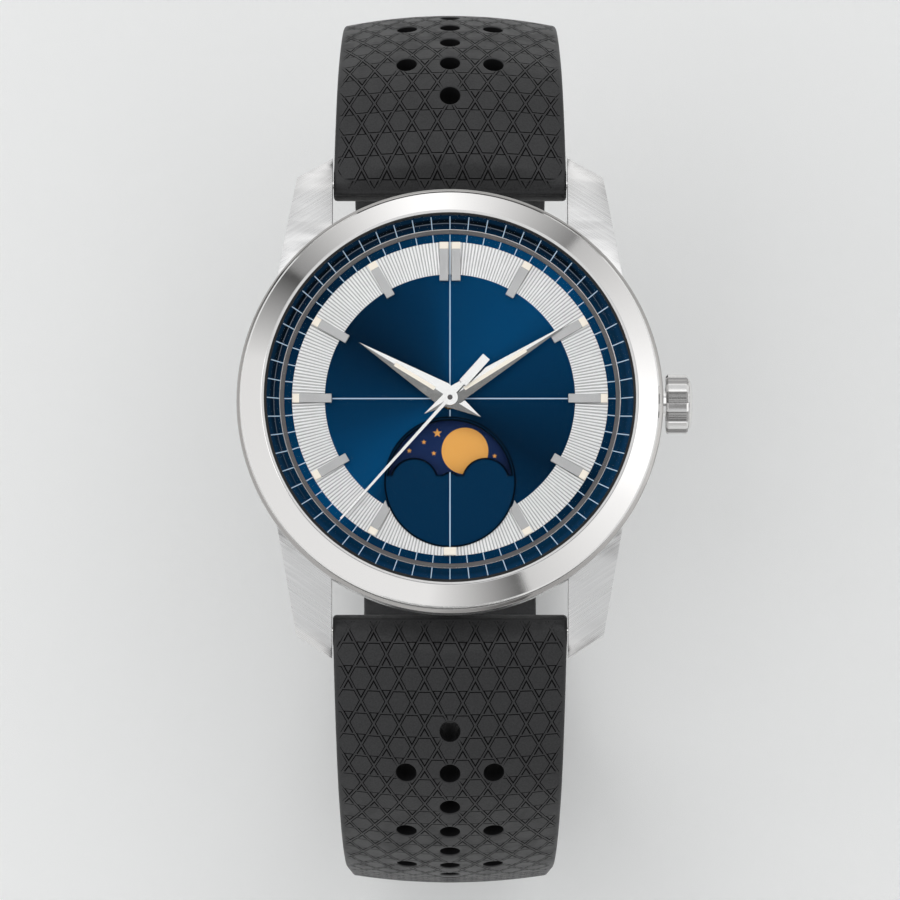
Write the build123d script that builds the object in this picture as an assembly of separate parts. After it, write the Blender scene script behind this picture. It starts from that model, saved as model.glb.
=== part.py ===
from build123d import *
import math
import os

# Moon phase wristwatch on a perforated rubber strap. Millimetres.
# Z = 0 is the outer face of the case back, +Z leaves the dial, +Y points to 12 o'clock, +X to the crown.
# The strap is open: the short half ends in the buckle, the tail of the long half lies flat below it.

os.makedirs("parts", exist_ok=True)

# Fits
running_gap = 0.05  # radial, between a turning piece and what it turns on
air_gap = 0.1  # between faces that pass each other
loose_gap = 0.3  # between soft or hand-moved pieces
cut_extra = 1.0  # how far a cutter runs past the piece that it cuts

# Dial, from the centre outwards
hand_hole_radius = 0.9
hour_ring_inner = 10.53
hour_ring_width = 2.75
hour_ring_height = 0.05
minute_band_width = 0.67
dial_tuck = 0.65
dial_height = 0.4

# Hour markers
marker_width = 0.74
marker_length = 3.3
marker_height = 0.35
marker_pair_gap = 0.28
marker_lume_length = 0.58
six_lume_width = 1.05
six_lume_length = 0.66
marker_edge_margin = 0.03
marker_count = 12

# Moon display
moon_offset_share = 0.6695
moon_plate_share = 0.52517
moon_plate_rim = 0.36
moon_plate_height = 0.15
aperture_floor_share = 0.116
hump_share = 0.39265
hump_spacing_share = 0.58027
middle_hump_share = 0.1644
moon_disc_cover = 0.15
moon_tooth = 0.18
moon_teeth = 59
moon_disc_height = 0.2
moon_figure_height = 0.04
moon_share = 0.38104
moon_orbit_share = 0.5764
moon_angle = 25
large_star_share = 0.0774
small_star_share = 0.04255
star_waist_share = 0.42
star_points = 5
large_star_shares = ((-0.207, 0.814),)
small_star_shares = ((-0.425, 0.667), (-0.663, 0.526), (-0.263, 0.484), (0.727, 0.439))
moon_post_radius = 0.5

# Sloping ring round the dial
rehaut_step_width = 0.35
rehaut_step_height = 0.12
rehaut_slope_width = 1.1
rehaut_height = 1.0
rehaut_wall = 0.1

# Crystal and bezel
crystal_edge_height = 0.65
crystal_bow = 0.6
crystal_inner_bow = 0.45
gasket_wall = 0.2
gasket_height = 0.35
bezel_width = 2.06
bezel_lip = 0.25
bezel_height = 2.4
bezel_edge_height = 0.75

# Case middle and lugs
case_rim = 0.34
case_rim_chamfer = 0.28
case_taper = 1.3
case_waist_share = 0.625
bezel_seat_drop = 0.6
lug_width = 20.0
lug_reach = 3.4
lug_tip_width = 3.0
lug_tip_slant = 1.9
lug_root_angle = 35.2
lug_root_sink = 0.12
lug_root_depth = 2.0
lug_tip_height = 1.15
lug_floor = 0.1
lug_root_drop = 0.5
lug_bulge = 1.0
lug_toe = 0.25

# Case back
back_lap = 0.75
back_crystal_height = 0.9
back_flange_width = 4.35
back_flange_height = 0.9
back_spigot_wall = 2.7
back_notch_width = 1.6
back_notch_depth = 0.6
back_notch_height = 0.45
back_notch_count = 6

# Heights inside the case, from the back towards the dial
rotor_air = 0.25
rotor_rim_height = 0.8
rotor_web_height = 0.25
winding_wheel_height = 0.25
bridge_height = 0.35
train_room = 2.0
plate_height = 1.0
motion_room = 0.8
moon_air = 0.35

# Spring bars
bar_offset = 1.1
bar_height = 1.2
bar_tube_radius = 0.75
bar_tip_radius = 0.42
bar_collar_radius = 0.65
bar_collar_length = 0.25
bar_collar_gap = 0.3
bar_tube_gap = 0.4
bar_travel = 0.9
bar_hole_depth = 0.85
bar_tip_hold = 1.1

# Crown and winding parts
stem_depth = 0.75
stem_radius = 0.45
stem_length = 12.0
crown_radius = 2.55
crown_length = 1.85
crown_cap_height = 0.35
crown_cap_radius = 2.1
crown_cap_taper_share = 0.75
crown_neck = 0.27
crown_groove_radius = 0.3
crown_rib_count = 9
crown_recess_depth = 1.2
tube_radius = 1.1
tube_bore = 0.6
tube_proud = 0.85
tube_inside = 0.6
crown_gasket_height = 0.4
crown_gasket_inset = 0.4
winding_pinion_length = 1.4
sliding_pinion_radius = 0.85
sliding_pinion_length = 1.5
pinion_teeth = 16
pinion_tooth_share = 0.2

# Movement
movement_ring_width = 2.7
movement_wall = 0.5
pivot_radius = 0.15
pivot_hold_share = 0.33
jewel_radius = 0.55
tooth_share = 1.5
wheel_height = 0.15
wheel_rim = 0.55
wheel_hub = 0.6
spoke_width = 0.35
spoke_count = 4
centre_tube_wall = 0.25
third_distance_share = 0.3515625
third_angle = 200
escape_distance_share = 0.3125
escape_angle = 265
pallet_distance_share = 0.18359375
pallet_angle = 235
pallet_spread = 62
balance_distance_share = 0.25
balance_angle = 215
centre_teeth = 64
third_pinion_teeth = 8
third_teeth = 60
fourth_pinion_teeth = 8
fourth_teeth = 72
escape_pinion_teeth = 8
escape_teeth = 20
escape_root_share = 0.75
escape_window_share = 0.6
escape_tooth_shares = (0.25, 0.83)
escape_radius_share = 0.15625
barrel_teeth = 84
centre_pinion_teeth = 12
barrel_distance_share = 0.51171875
barrel_angle = 70
barrel_arbor_radius = 0.6
ratchet_teeth = 38
crown_wheel_teeth = 24
crown_wheel_distance_share = 0.5
balance_radius_share = 0.2265625
balance_rim = 0.45
balance_height = 0.3
balance_spokes = 3
roller_radius = 0.5
spring_inner_radius = 0.55
spring_pitch = 0.5
spring_thickness = 0.08
spring_height = 0.2
spring_turns = 4
bridge_slot = 0.2
barrel_bridge_shift_shares = (0.2, 0.1)
cock_eye_radius = 1.3
cock_foot_radius = 1.2
cock_foot_distance_share = 0.859375
cock_foot_angle = 206

# Heights of the train, as shares of the room between bridges and plate
fourth_share = 0.06
barrel_low_share = 0.18
escape_share = 0.23
spring_share = 0.06
fourth_pinion_shares = (0.36, 0.56)
third_share = 0.425
centre_pinion_shares = (0.58, 0.78)
barrel_teeth_share = 0.6
barrel_high_share = 0.72
balance_share = 0.62
centre_share = 0.8
third_pinion_shares = (0.76, 0.92)
escape_pinion_shares = (0.03, 0.17)

# Hand drive under the dial
cannon_teeth = 12
minute_wheel_teeth = 36
minute_pinion_teeth = 10
hour_wheel_teeth = 40
minute_wheel_distance_share = 0.2109375
minute_wheel_angle = 130
minute_stud_radius = 0.3
motion_step_share = 0.33
minute_pinion_share = 0.66
hour_tube_radius = 0.62
cannon_tube_radius = 0.45

# Rotor
rotor_clearance = 0.4
rotor_rim_width = 1.8
rotor_hub_radius = 2.6
rotor_bearing_radius = 1.6
rotor_window_margin = 1.6
rotor_spoke_angles = (45, 135)

# Hands
hand_air = 0.15
hand_edge = 0.05
hand_ridge = 0.2
hour_hand_angle = 301.7
hour_hand_length = 9.0
hour_hand_tail = 3.05
hour_hand_width = 2.0
hour_lume_start = 1.5
hour_lume_end = 5.45
minute_hand_angle = 57.8
minute_hand_length = 12.1
minute_hand_tail = 2.56
minute_hand_width = 1.6
minute_lume_start = 1.42
minute_lume_end = 7.57
hand_widest = 0.7
lume_width = 0.33
hour_hub_radius = 0.8
minute_hub_radius = 0.62
seconds_hand_angle = 221.8
seconds_hand_length = 13.75
seconds_hand_width = 0.3
seconds_tip_width = 0.17
seconds_hand_height = 0.1
paddle_start = 1.6
paddle_length = 3.0
paddle_width = 0.76
seconds_hub_radius = 0.66

# Strap: each half is walked from its spring bar in runs, with the slope below level after each run
strap_side_gap = 0.1
strap_end_share = 0.8
strap_taper_length = 72.0
strap_inner = 1.3
strap_edge = 1.2
strap_end_edge = 0.9
strap_dome = 1.2
strap_end_dome = 0.4
strap_nose_radius = 1.4
strap_shoulder = 2.4
strap_shoulder_shares = ((0, 0.05), (0.2, 0.5), (0.5, 0.86), (1, 1))
strap_rest_cut = 0.2
short_half_length = 75.0
short_run_shares = (0.0933, 0.0667, 0.0933, 0.1333, 0.3667, 0.2467)
short_slopes = (5, 32, 54, 65, 90, 180, 180)
long_half_length = 115.0
long_run_shares = (0.0696, 0.0609, 0.0696, 0.087, 0.1043, 0.3417, 0.2669)
long_slopes = (5, 29.5, 57, 71.7, 90, 90, 180, 180)
strap_step_angle = 12
strap_tip_length = 6.0
strap_tip_shares = ((0.55, 0.9), (0.85, 0.66), (1.0, 0.4))
strap_hole_radius = 0.875
strap_hole_pitch = 3.72
strap_side_hole = 3.72
short_first_hole = 7.0
short_hole_rows = 6
long_first_hole = 7.8
long_hole_rows = 26
side_hole_rows = 6

# Buckle and keepers
buckle_bar_radius = 0.6
strap_end_radius = 1.5
tongue_slot_width = 3.2
tongue_slot_length = 2.4
buckle_arm_width = 1.8
buckle_height = 1.8
buckle_length = 10.6
buckle_end_width = 2.0
buckle_corner = 1.4
tongue_width = 1.6
tongue_ring_width = 2.6
tongue_height = 0.75
tongue_overhang = 0.25
keeper_wall = 0.9
keeper_width = 4.0
keeper_corner = 0.8
keeper_room = 0.5
fixed_keeper_back = 6.5
free_keeper_back = 15.5

# Radii that follow from the dial
moon_plate_offset = hour_ring_inner * moon_offset_share
moon_plate_radius = hour_ring_inner * moon_plate_share
aperture_radius = moon_plate_radius - moon_plate_rim
aperture_floor = aperture_radius * aperture_floor_share
hump_radius = aperture_radius * hump_share
hump_spacing = aperture_radius * hump_spacing_share
middle_hump_radius = aperture_radius * middle_hump_share
moon_radius = aperture_radius * moon_share
moon_orbit = aperture_radius * moon_orbit_share
hour_ring_outer = hour_ring_inner + hour_ring_width
dial_opening = hour_ring_outer + minute_band_width
dial_radius = dial_opening + dial_tuck
crystal_radius = dial_opening + rehaut_step_width + rehaut_slope_width
case_bore = crystal_radius + rehaut_wall
movement_radius = case_bore - movement_ring_width
third_distance = movement_radius * third_distance_share
escape_distance = movement_radius * escape_distance_share
escape_radius = movement_radius * escape_radius_share
pallet_distance = movement_radius * pallet_distance_share
balance_distance = movement_radius * balance_distance_share
balance_radius = movement_radius * balance_radius_share
cock_foot_distance = movement_radius * cock_foot_distance_share
barrel_distance = movement_radius * barrel_distance_share
crown_wheel_distance = movement_radius * crown_wheel_distance_share
minute_wheel_distance = movement_radius * minute_wheel_distance_share
bezel_bore = crystal_radius + gasket_wall
bezel_radius = bezel_bore + bezel_width
case_radius = bezel_radius + case_rim
case_foot_radius = case_radius - case_taper
back_radius = case_bore + back_lap
back_crystal_radius = back_radius - back_flange_width - gasket_wall
moon_disc_radius = aperture_radius + moon_disc_cover

# Heights, stacked from the case back
rotor_low = back_crystal_height + rotor_air
rotor_high = rotor_low + rotor_rim_height
winding_low = rotor_high + air_gap
bridge_low = winding_low + winding_wheel_height
bridge_high = bridge_low + bridge_height
plate_low = bridge_high + train_room
plate_high = plate_low + plate_height
moon_low = plate_high + motion_room
moon_high = moon_low + moon_disc_height
dial_low = moon_high + moon_air
motion_step = plate_high + motion_room * motion_step_share
dial_high = dial_low + dial_height
stem_level = bridge_high + stem_depth
case_top = dial_low - bezel_seat_drop
case_waist = case_top * case_waist_share
bezel_top = case_top + bezel_height
rehaut_top = dial_high + rehaut_height
crystal_low = rehaut_top + running_gap
crystal_edge_top = crystal_low + crystal_edge_height
hour_hand_low = dial_high + moon_plate_height + hand_air
minute_hand_low = hour_hand_low + hand_ridge + air_gap
seconds_hand_low = minute_hand_low + hand_ridge + air_gap
spring_bar_reach = case_radius + bar_offset
strap_width = lug_width - 2 * strap_side_gap
strap_end_width = lug_width * strap_end_share


def polar(radius, angle):
    return (radius * math.cos(math.radians(angle)), radius * math.sin(math.radians(angle)))


def disc(radius, low, high):
    return Pos(0, 0, low) * extrude(Circle(radius), amount=high - low)


def ring(outer, inner, low, high):
    return Pos(0, 0, low) * extrude(Circle(outer) - Circle(inner), amount=high - low)


def turned(points):
    return revolve(Plane.XZ * make_face(Polyline(*points, close=True)), Axis.Z)


def rod_x(radius, x_low, x_high, y, z):
    return Pos(x_low, y, z) * Rot(0, 90, 0) * extrude(Circle(radius), amount=x_high - x_low)


def block(x_low, x_high, y_low, y_high, z_low, z_high):
    size = (x_high - x_low, y_high - y_low, z_high - z_low)
    centre = Pos((x_low + x_high) / 2, (y_low + y_high) / 2, (z_low + z_high) / 2)
    return centre * Box(*size)


def save(node, shape):
    export_step(Compound(shape.solids()), f"parts/{node}.step")


# Axes of the movement, seen from the dial
third_axis = polar(third_distance, third_angle)
escape_axis = polar(escape_distance, escape_angle)
pallet_step = polar(pallet_distance, pallet_angle)
pallet_axis = (escape_axis[0] + pallet_step[0], escape_axis[1] + pallet_step[1])
balance_step = polar(balance_distance, balance_angle)
balance_axis = (pallet_axis[0] + balance_step[0], pallet_axis[1] + balance_step[1])
barrel_axis = polar(barrel_distance, barrel_angle)
crown_wheel_axis = (crown_wheel_distance, 0)
minute_axis = polar(minute_wheel_distance, minute_wheel_angle)
moon_axis = (0, -moon_plate_offset)


# Case
def lug():
    root = polar(case_radius - lug_root_sink, lug_root_angle)
    inner = lug_width / 2
    tip = case_radius + lug_reach
    root_y = root[1] + lug_root_depth
    plan = Polyline(
        (inner, root_y), (inner, tip), (inner + lug_tip_width, tip - lug_tip_slant), root, close=True
    )
    solid = extrude(make_face(plan), amount=case_top)
    start = (root_y - lug_root_depth, case_top - lug_root_drop)
    end = (tip, lug_tip_height)
    run, fall = end[0] - start[0], end[1] - start[1]
    chord = math.hypot(run, fall)
    middle = (
        (start[0] + end[0]) / 2 - fall / chord * lug_bulge,
        (start[1] + end[1]) / 2 + run / chord * lug_bulge,
    )
    side = make_face(
        [
            ThreePointArc(start, middle, end),
            Line(end, (tip - lug_toe, lug_floor)),
            Line((tip - lug_toe, lug_floor), (start[0], lug_floor)),
            Line((start[0], lug_floor), start),
        ]
    )
    solid &= extrude(Plane.YZ * side, amount=case_radius)
    solid -= disc(back_radius + loose_gap, -cut_extra, back_flange_height)
    hole = bar_tip_radius + running_gap
    solid -= rod_x(hole, inner - cut_extra, inner + bar_hole_depth, spring_bar_reach, bar_height)
    return solid


def case_middle():
    foot = back_flange_height
    body = turned(
        [
            (case_bore, foot),
            (case_foot_radius, foot),
            (case_radius, case_waist),
            (case_radius, case_top - case_rim_chamfer),
            (case_radius - case_rim_chamfer, case_top),
            (case_bore, case_top),
        ]
    )
    right_lug = lug()
    left_lug = mirror(right_lug, about=Plane.YZ)
    for piece in (right_lug, left_lug):
        body += piece
        body += mirror(piece, about=Plane.XZ)
    body -= disc(case_bore, -cut_extra, case_top + cut_extra)
    body -= rod_x(tube_radius, case_bore - cut_extra, case_radius + cut_extra, 0, stem_level)
    return body


def bezel():
    face_low = case_top + bezel_edge_height
    return turned(
        [
            (bezel_bore, case_top),
            (bezel_bore, bezel_top),
            (bezel_bore + bezel_lip, bezel_top),
            (bezel_radius - bezel_lip / 2, face_low + bezel_lip / 2),
            (bezel_radius, face_low - bezel_lip / 2),
            (bezel_radius, case_top),
        ]
    )


def bowed(radius, low, rise):
    half = radius / 2
    return ThreePointArc((0, low + rise), (half, low + rise * (1 - half**2 / radius**2)), (radius, low))


def crystal():
    under = bowed(crystal_radius, crystal_low, crystal_inner_bow)
    over = bowed(crystal_radius, crystal_edge_top, crystal_bow)
    edge = Line((crystal_radius, crystal_low), (crystal_radius, crystal_edge_top))
    middle = Line((0, crystal_low + crystal_inner_bow), (0, crystal_edge_top + crystal_bow))
    return revolve(Plane.XZ * make_face([under, edge, over, middle]), Axis.Z)


def rehaut_ring():
    step_top = dial_high + rehaut_step_height
    return turned(
        [
            (dial_opening, dial_high),
            (dial_opening, step_top),
            (dial_opening + rehaut_step_width, step_top),
            (crystal_radius, rehaut_top),
            (case_bore, rehaut_top),
            (case_bore, dial_low),
            (dial_radius, dial_low),
            (dial_radius, dial_high),
        ]
    )


def case_back_ring():
    seat = back_crystal_radius + gasket_wall
    body = ring(back_radius, seat, 0, back_flange_height)
    body += ring(case_bore, case_bore - back_spigot_wall, back_flange_height, rotor_high)
    for index in range(back_notch_count):
        notch = block(
            back_radius - back_notch_depth,
            back_radius + cut_extra,
            -back_notch_width / 2,
            back_notch_width / 2,
            -cut_extra,
            back_notch_height,
        )
        body -= Rot(0, 0, index * 360 / back_notch_count) * notch
    return body


def crown():
    inner = case_radius + crown_neck
    body = disc(crown_radius, 0, crown_length)
    for index in range(crown_rib_count):
        x, y = polar(crown_radius, index * 360 / crown_rib_count)
        groove = Pos(x, y, 0) * disc(crown_groove_radius, -cut_extra, crown_length + cut_extra)
        body -= groove
    cap = loft(
        [
            Pos(0, 0, crown_length) * Circle(crown_cap_radius),
            Pos(0, 0, crown_length + crown_cap_height) * Circle(crown_cap_radius * crown_cap_taper_share),
        ]
    )
    body += cap
    body -= disc(tube_radius + loose_gap, -cut_extra, crown_recess_depth)
    return Pos(inner, 0, stem_level) * Rot(0, 90, 0) * body


def crown_gasket():
    low = case_radius + crown_neck + crown_gasket_inset
    body = ring(tube_radius + loose_gap, tube_radius + running_gap, 0, crown_gasket_height)
    return Pos(low, 0, stem_level) * Rot(0, 90, 0) * body


def crown_tube():
    body = ring(tube_radius, tube_bore, case_bore - tube_inside, case_radius + tube_proud)
    return Pos(0, 0, stem_level) * Rot(0, 90, 0) * body


stem_end = case_radius + crown_neck + crown_recess_depth
stem_start = stem_end - stem_length
pinion_outer_end = crown_wheel_distance + winding_pinion_length * 5 / 2
pinion_inner_end = pinion_outer_end - winding_pinion_length
sliding_outer_end = pinion_inner_end - air_gap


# Spring bars
def spring_bar(side):
    half = lug_width / 2 - bar_travel - bar_collar_length - bar_tube_gap
    bore = bar_tip_radius + running_gap
    y = side * spring_bar_reach
    tube = rod_x(bar_tube_radius, -half, half, y, bar_height)
    return tube - rod_x(bore, -half - cut_extra, half + cut_extra, y, bar_height)


def bar_tip(side, hand):
    y = side * spring_bar_reach
    outer = lug_width / 2 + bar_hole_depth - air_gap
    inner = lug_width / 2 - bar_travel - bar_tube_gap - bar_collar_length - bar_tip_hold
    collar = lug_width / 2 - bar_collar_gap
    tip = rod_x(bar_tip_radius, inner, outer, y, bar_height)
    tip += rod_x(bar_collar_radius, collar - bar_collar_length, collar, y, bar_height)
    return tip if hand > 0 else mirror(tip, about=Plane.YZ)


# Dial side
def aperture_outline(margin):
    upper = Rectangle(3 * aperture_radius, 2 * aperture_radius)
    outline = Circle(aperture_radius + margin) & Pos(0, aperture_radius + aperture_floor - margin) * upper
    for side in (1, -1):
        outline -= Pos(side * hump_spacing, 0) * Circle(hump_radius - margin)
    outline -= Circle(middle_hump_radius - margin)
    return Pos(*moon_axis) * outline


def dial_plate():
    body = ring(dial_radius, hand_hole_radius, dial_low, dial_high)
    opening = extrude(aperture_outline(air_gap), amount=dial_height + 2 * cut_extra)
    return body - Pos(0, 0, dial_low - cut_extra) * opening


def moon_plate_disc(margin, low, high):
    return Pos(*moon_axis, 0) * disc(moon_plate_radius + margin, low, high)


def hour_ring():
    body = ring(hour_ring_outer, hour_ring_inner, dial_high, dial_high + hour_ring_height)
    return body - moon_plate_disc(0, dial_low, dial_high + cut_extra)


def moon_plate():
    outline = Pos(*moon_axis) * Circle(moon_plate_radius) - aperture_outline(0)
    return Pos(0, 0, dial_high) * extrude(outline, amount=moon_plate_height)


def marker_bars():
    high = dial_high + hour_ring_height + marker_height
    low = dial_high + hour_ring_height
    outer = hour_ring_outer - marker_edge_margin
    bars = []
    for hour in range(marker_count):
        if hour == marker_count / 2:
            continue
        offset = (marker_width + marker_pair_gap) / 2 if hour == 0 else 0
        for shift in {offset, -offset}:
            left, right = shift - marker_width / 2, shift + marker_width / 2
            bar = block(left, right, outer - marker_length, outer - marker_lume_length, low, high)
            tip = block(left, right, outer - marker_lume_length, outer, low, high)
            turn = Rot(0, 0, -hour * 360 / marker_count)
            bars.append((turn * bar, turn * tip))
    return bars


def hour_markers():
    clear = moon_plate_disc(air_gap, dial_low, dial_high + cut_extra)
    body = Part()
    for bar, _ in marker_bars():
        body += bar - clear
    return body


def marker_lume():
    low = dial_high + hour_ring_height
    outer = hour_ring_outer - marker_edge_margin
    half = six_lume_width / 2
    body = Part()
    for _, tip in marker_bars():
        body += tip
    body += block(-half, half, -outer, six_lume_length - outer, low, low + marker_height)
    return body


def star(radius):
    points = []
    step = 180 / star_points
    for index in range(star_points):
        points.append(polar(radius, 90 + 2 * index * step))
        points.append(polar(radius * star_waist_share, 90 + (2 * index + 1) * step))
    return make_face(Polyline(*points, close=True))


def moon_disc():
    hub = Circle(moon_post_radius + running_gap)
    outline = toothed(moon_teeth, moon_disc_radius, moon_disc_radius + moon_tooth, 0) - hub
    return Pos(*moon_axis, moon_low) * extrude(outline, amount=moon_disc_height)


def moon_figures():
    figures = Sketch()
    half_turns = (0, 180)
    star_groups = ((large_star_share, large_star_shares), (small_star_share, small_star_shares))
    for turn in half_turns:
        figures += Rot(0, 0, turn) * Pos(*polar(moon_orbit, 90 - moon_angle)) * Circle(moon_radius)
        for star_share, places in star_groups:
            for x_share, y_share in places:
                place = Pos(x_share * aperture_radius, y_share * aperture_radius)
                figures += Rot(0, 0, turn) * place * star(star_share * aperture_radius)
    return Pos(*moon_axis, moon_high) * extrude(figures, amount=moon_figure_height)


# Wheels of the movement
def toothed(teeth, root, tip, phase):
    points = []
    for index in range(teeth):
        angle = phase + index * 360 / teeth
        points.append(polar(root, angle - 180 / teeth))
        points.append(polar(tip, angle))
    return make_face(Polyline(*points, close=True))


def gear_outline(teeth, pitch, phase):
    depth = math.pi * pitch * tooth_share / teeth
    return toothed(teeth, pitch - depth / 2 - running_gap / 2, pitch + depth / 2 - running_gap / 2, phase)


def gear(teeth, pitch, low, high, bore, phase=0):
    outline = gear_outline(teeth, pitch, phase)
    if bore > 0:
        outline -= Circle(bore)
    return Pos(0, 0, low) * extrude(outline, amount=high - low)


def spoked(body, outer, hub, count, low, high):
    window = Circle(outer) - Circle(hub)
    for index in range(count):
        window -= Rot(0, 0, index * 360 / count) * Pos(outer / 2, 0) * Rectangle(outer, spoke_width)
    return body - Pos(0, 0, low - cut_extra) * extrude(window, amount=high - low + 2 * cut_extra)


def level(share):
    return bridge_high + train_room * share


def train_pitch(distance, wheel_teeth, pinion_teeth_count):
    wheel = distance * wheel_teeth / (wheel_teeth + pinion_teeth_count)
    return wheel, distance - wheel


centre_pitch, third_pinion_pitch = train_pitch(third_distance, centre_teeth, third_pinion_teeth)
third_pitch, fourth_pinion_pitch = train_pitch(third_distance, third_teeth, fourth_pinion_teeth)
fourth_pitch, escape_pinion_pitch = train_pitch(escape_distance, fourth_teeth, escape_pinion_teeth)
barrel_pitch, centre_pinion_pitch = train_pitch(barrel_distance, barrel_teeth, centre_pinion_teeth)
minute_wheel_pitch, cannon_pitch = train_pitch(minute_wheel_distance, minute_wheel_teeth, cannon_teeth)
hour_wheel_pitch, minute_pinion_pitch = train_pitch(
    minute_wheel_distance, hour_wheel_teeth, minute_pinion_teeth
)
winding_reach = math.dist(crown_wheel_axis, barrel_axis)
ratchet_pitch, crown_wheel_pitch = train_pitch(winding_reach, ratchet_teeth, crown_wheel_teeth)
centre_bore = pivot_radius + running_gap
centre_tube = centre_bore + centre_tube_wall
pivot_end_low = bridge_low + bridge_height * pivot_hold_share
pivot_end_high = plate_low + plate_height * pivot_hold_share


def pinion(teeth, pitch, shares):
    return gear(teeth, pitch, level(shares[0]), level(shares[1]), 0)


def wheel_and_pinion(teeth, pitch, wheel_low, small_teeth, small_pitch, small_shares):
    wheel = gear(teeth, pitch, wheel_low, wheel_low + wheel_height, 0)
    wheel = spoked(wheel, pitch - wheel_rim, wheel_hub, spoke_count, wheel_low, wheel_low + wheel_height)
    wheel += pinion(small_teeth, small_pitch, small_shares)
    return wheel + disc(pivot_radius, pivot_end_low, pivot_end_high)


def third_wheel():
    body = wheel_and_pinion(
        third_teeth, third_pitch, level(third_share),
        third_pinion_teeth, third_pinion_pitch, third_pinion_shares,
    )
    return Pos(*third_axis, 0) * body


def fourth_wheel():
    body = wheel_and_pinion(
        fourth_teeth, fourth_pitch, level(fourth_share),
        fourth_pinion_teeth, fourth_pinion_pitch, fourth_pinion_shares,
    )
    return body + disc(pivot_radius, pivot_end_low, seconds_hand_low)


def escape_wheel():
    low = level(escape_share)
    step = 360 / escape_teeth
    root = escape_radius * escape_root_share
    points = []
    for index in range(escape_teeth):
        points.append(polar(escape_radius, index * step))
        points += [polar(root, (index + share) * step) for share in escape_tooth_shares]
    outline = make_face(Polyline(*points, close=True))
    body = Pos(0, 0, low) * extrude(outline, amount=wheel_height)
    body = spoked(body, escape_radius * escape_window_share, wheel_hub, spoke_count, low, low + wheel_height)
    body += pinion(escape_pinion_teeth, escape_pinion_pitch, escape_pinion_shares)
    body += disc(pivot_radius, pivot_end_low, pivot_end_high)
    return Pos(*escape_axis, 0) * body


def centre_wheel():
    low = level(centre_share)
    body = gear(centre_teeth, centre_pitch, low, low + wheel_height, 0)
    body = spoked(body, centre_pitch - wheel_rim, 2 * wheel_hub, spoke_count, low, low + wheel_height)
    body += pinion(centre_pinion_teeth, centre_pinion_pitch, centre_pinion_shares)
    body += disc(centre_tube, level(centre_pinion_shares[0]), plate_high + air_gap)
    return body - disc(centre_bore, 0, dial_high)


def barrel():
    body = disc(barrel_pitch - wheel_rim, level(barrel_low_share), level(barrel_high_share))
    body += gear(barrel_teeth, barrel_pitch, level(barrel_teeth_share), level(barrel_high_share), 0)
    body -= disc(barrel_arbor_radius + running_gap, 0, dial_low)
    return Pos(*barrel_axis, 0) * body


def ratchet_wheel():
    body = gear(ratchet_teeth, ratchet_pitch, winding_low, bridge_low - running_gap / 2, 0)
    body += disc(barrel_arbor_radius, winding_low, pivot_end_high)
    return Pos(*barrel_axis, 0) * body


def crown_wheel():
    body = gear(crown_wheel_teeth, crown_wheel_pitch, winding_low, bridge_low - running_gap / 2, 0)
    body += disc(pivot_radius * 2, winding_low, bridge_low + bridge_height / 2)
    return Pos(*crown_wheel_axis, 0) * body


def pallet_fork():
    low = level(escape_share)
    to_escape = pallet_angle + 180
    to_balance = balance_angle
    arm = balance_distance - roller_radius - air_gap
    body = extrude(Circle(wheel_hub), amount=wheel_height)
    fork = Rot(0, 0, to_balance) * Pos(arm / 2, 0) * Rectangle(arm, spoke_width)
    body += extrude(fork, amount=wheel_height)
    for side in (1, -1):
        turn = to_escape + side * pallet_spread
        reach = pallet_distance / 2
        pallet = Rot(0, 0, turn) * Pos(reach / 2, 0) * Rectangle(reach, spoke_width)
        body += extrude(pallet, amount=wheel_height)
    body = Pos(0, 0, low) * body + disc(pivot_radius, pivot_end_low, pivot_end_high)
    return Pos(*pallet_axis, 0) * body


def balance_wheel():
    low = level(balance_share)
    high = low + balance_height
    body = disc(balance_radius, low, high)
    body = spoked(body, balance_radius - balance_rim, wheel_hub, balance_spokes, low, high)
    body += disc(roller_radius, level(escape_share), low)
    body += disc(pivot_radius, pivot_end_low, pivot_end_high)
    return Pos(*balance_axis, 0) * body


def spring_outline():
    outer, inner = [], []
    for index in range(2 * spring_turns):
        side = 1 if index % 2 == 0 else -1
        near = spring_inner_radius + index * spring_pitch / 2
        far = near + spring_pitch / 2
        centre = side * (near - far) / 2
        radius = (near + far) / 2
        for edges, growth in ((outer, spring_thickness / 2), (inner, -spring_thickness / 2)):
            reach = radius + growth
            start, top = (centre + side * reach, 0), (centre, side * reach)
            edges.append(ThreePointArc(start, top, (centre - side * reach, 0)))
    start = Line(inner[0] @ 0, outer[0] @ 0)
    end = Line(outer[-1] @ 1, inner[-1] @ 1)
    return make_face([start, *outer, end, *inner])


def balance_spring():
    low = level(spring_share)
    print("least gap between turns of the balance spring", spring_pitch - spring_thickness)
    body = Pos(0, 0, low) * extrude(spring_outline(), amount=spring_height)
    return Pos(*balance_axis, 0) * body


spring_outer_radius = spring_inner_radius + spring_pitch * spring_turns


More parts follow.
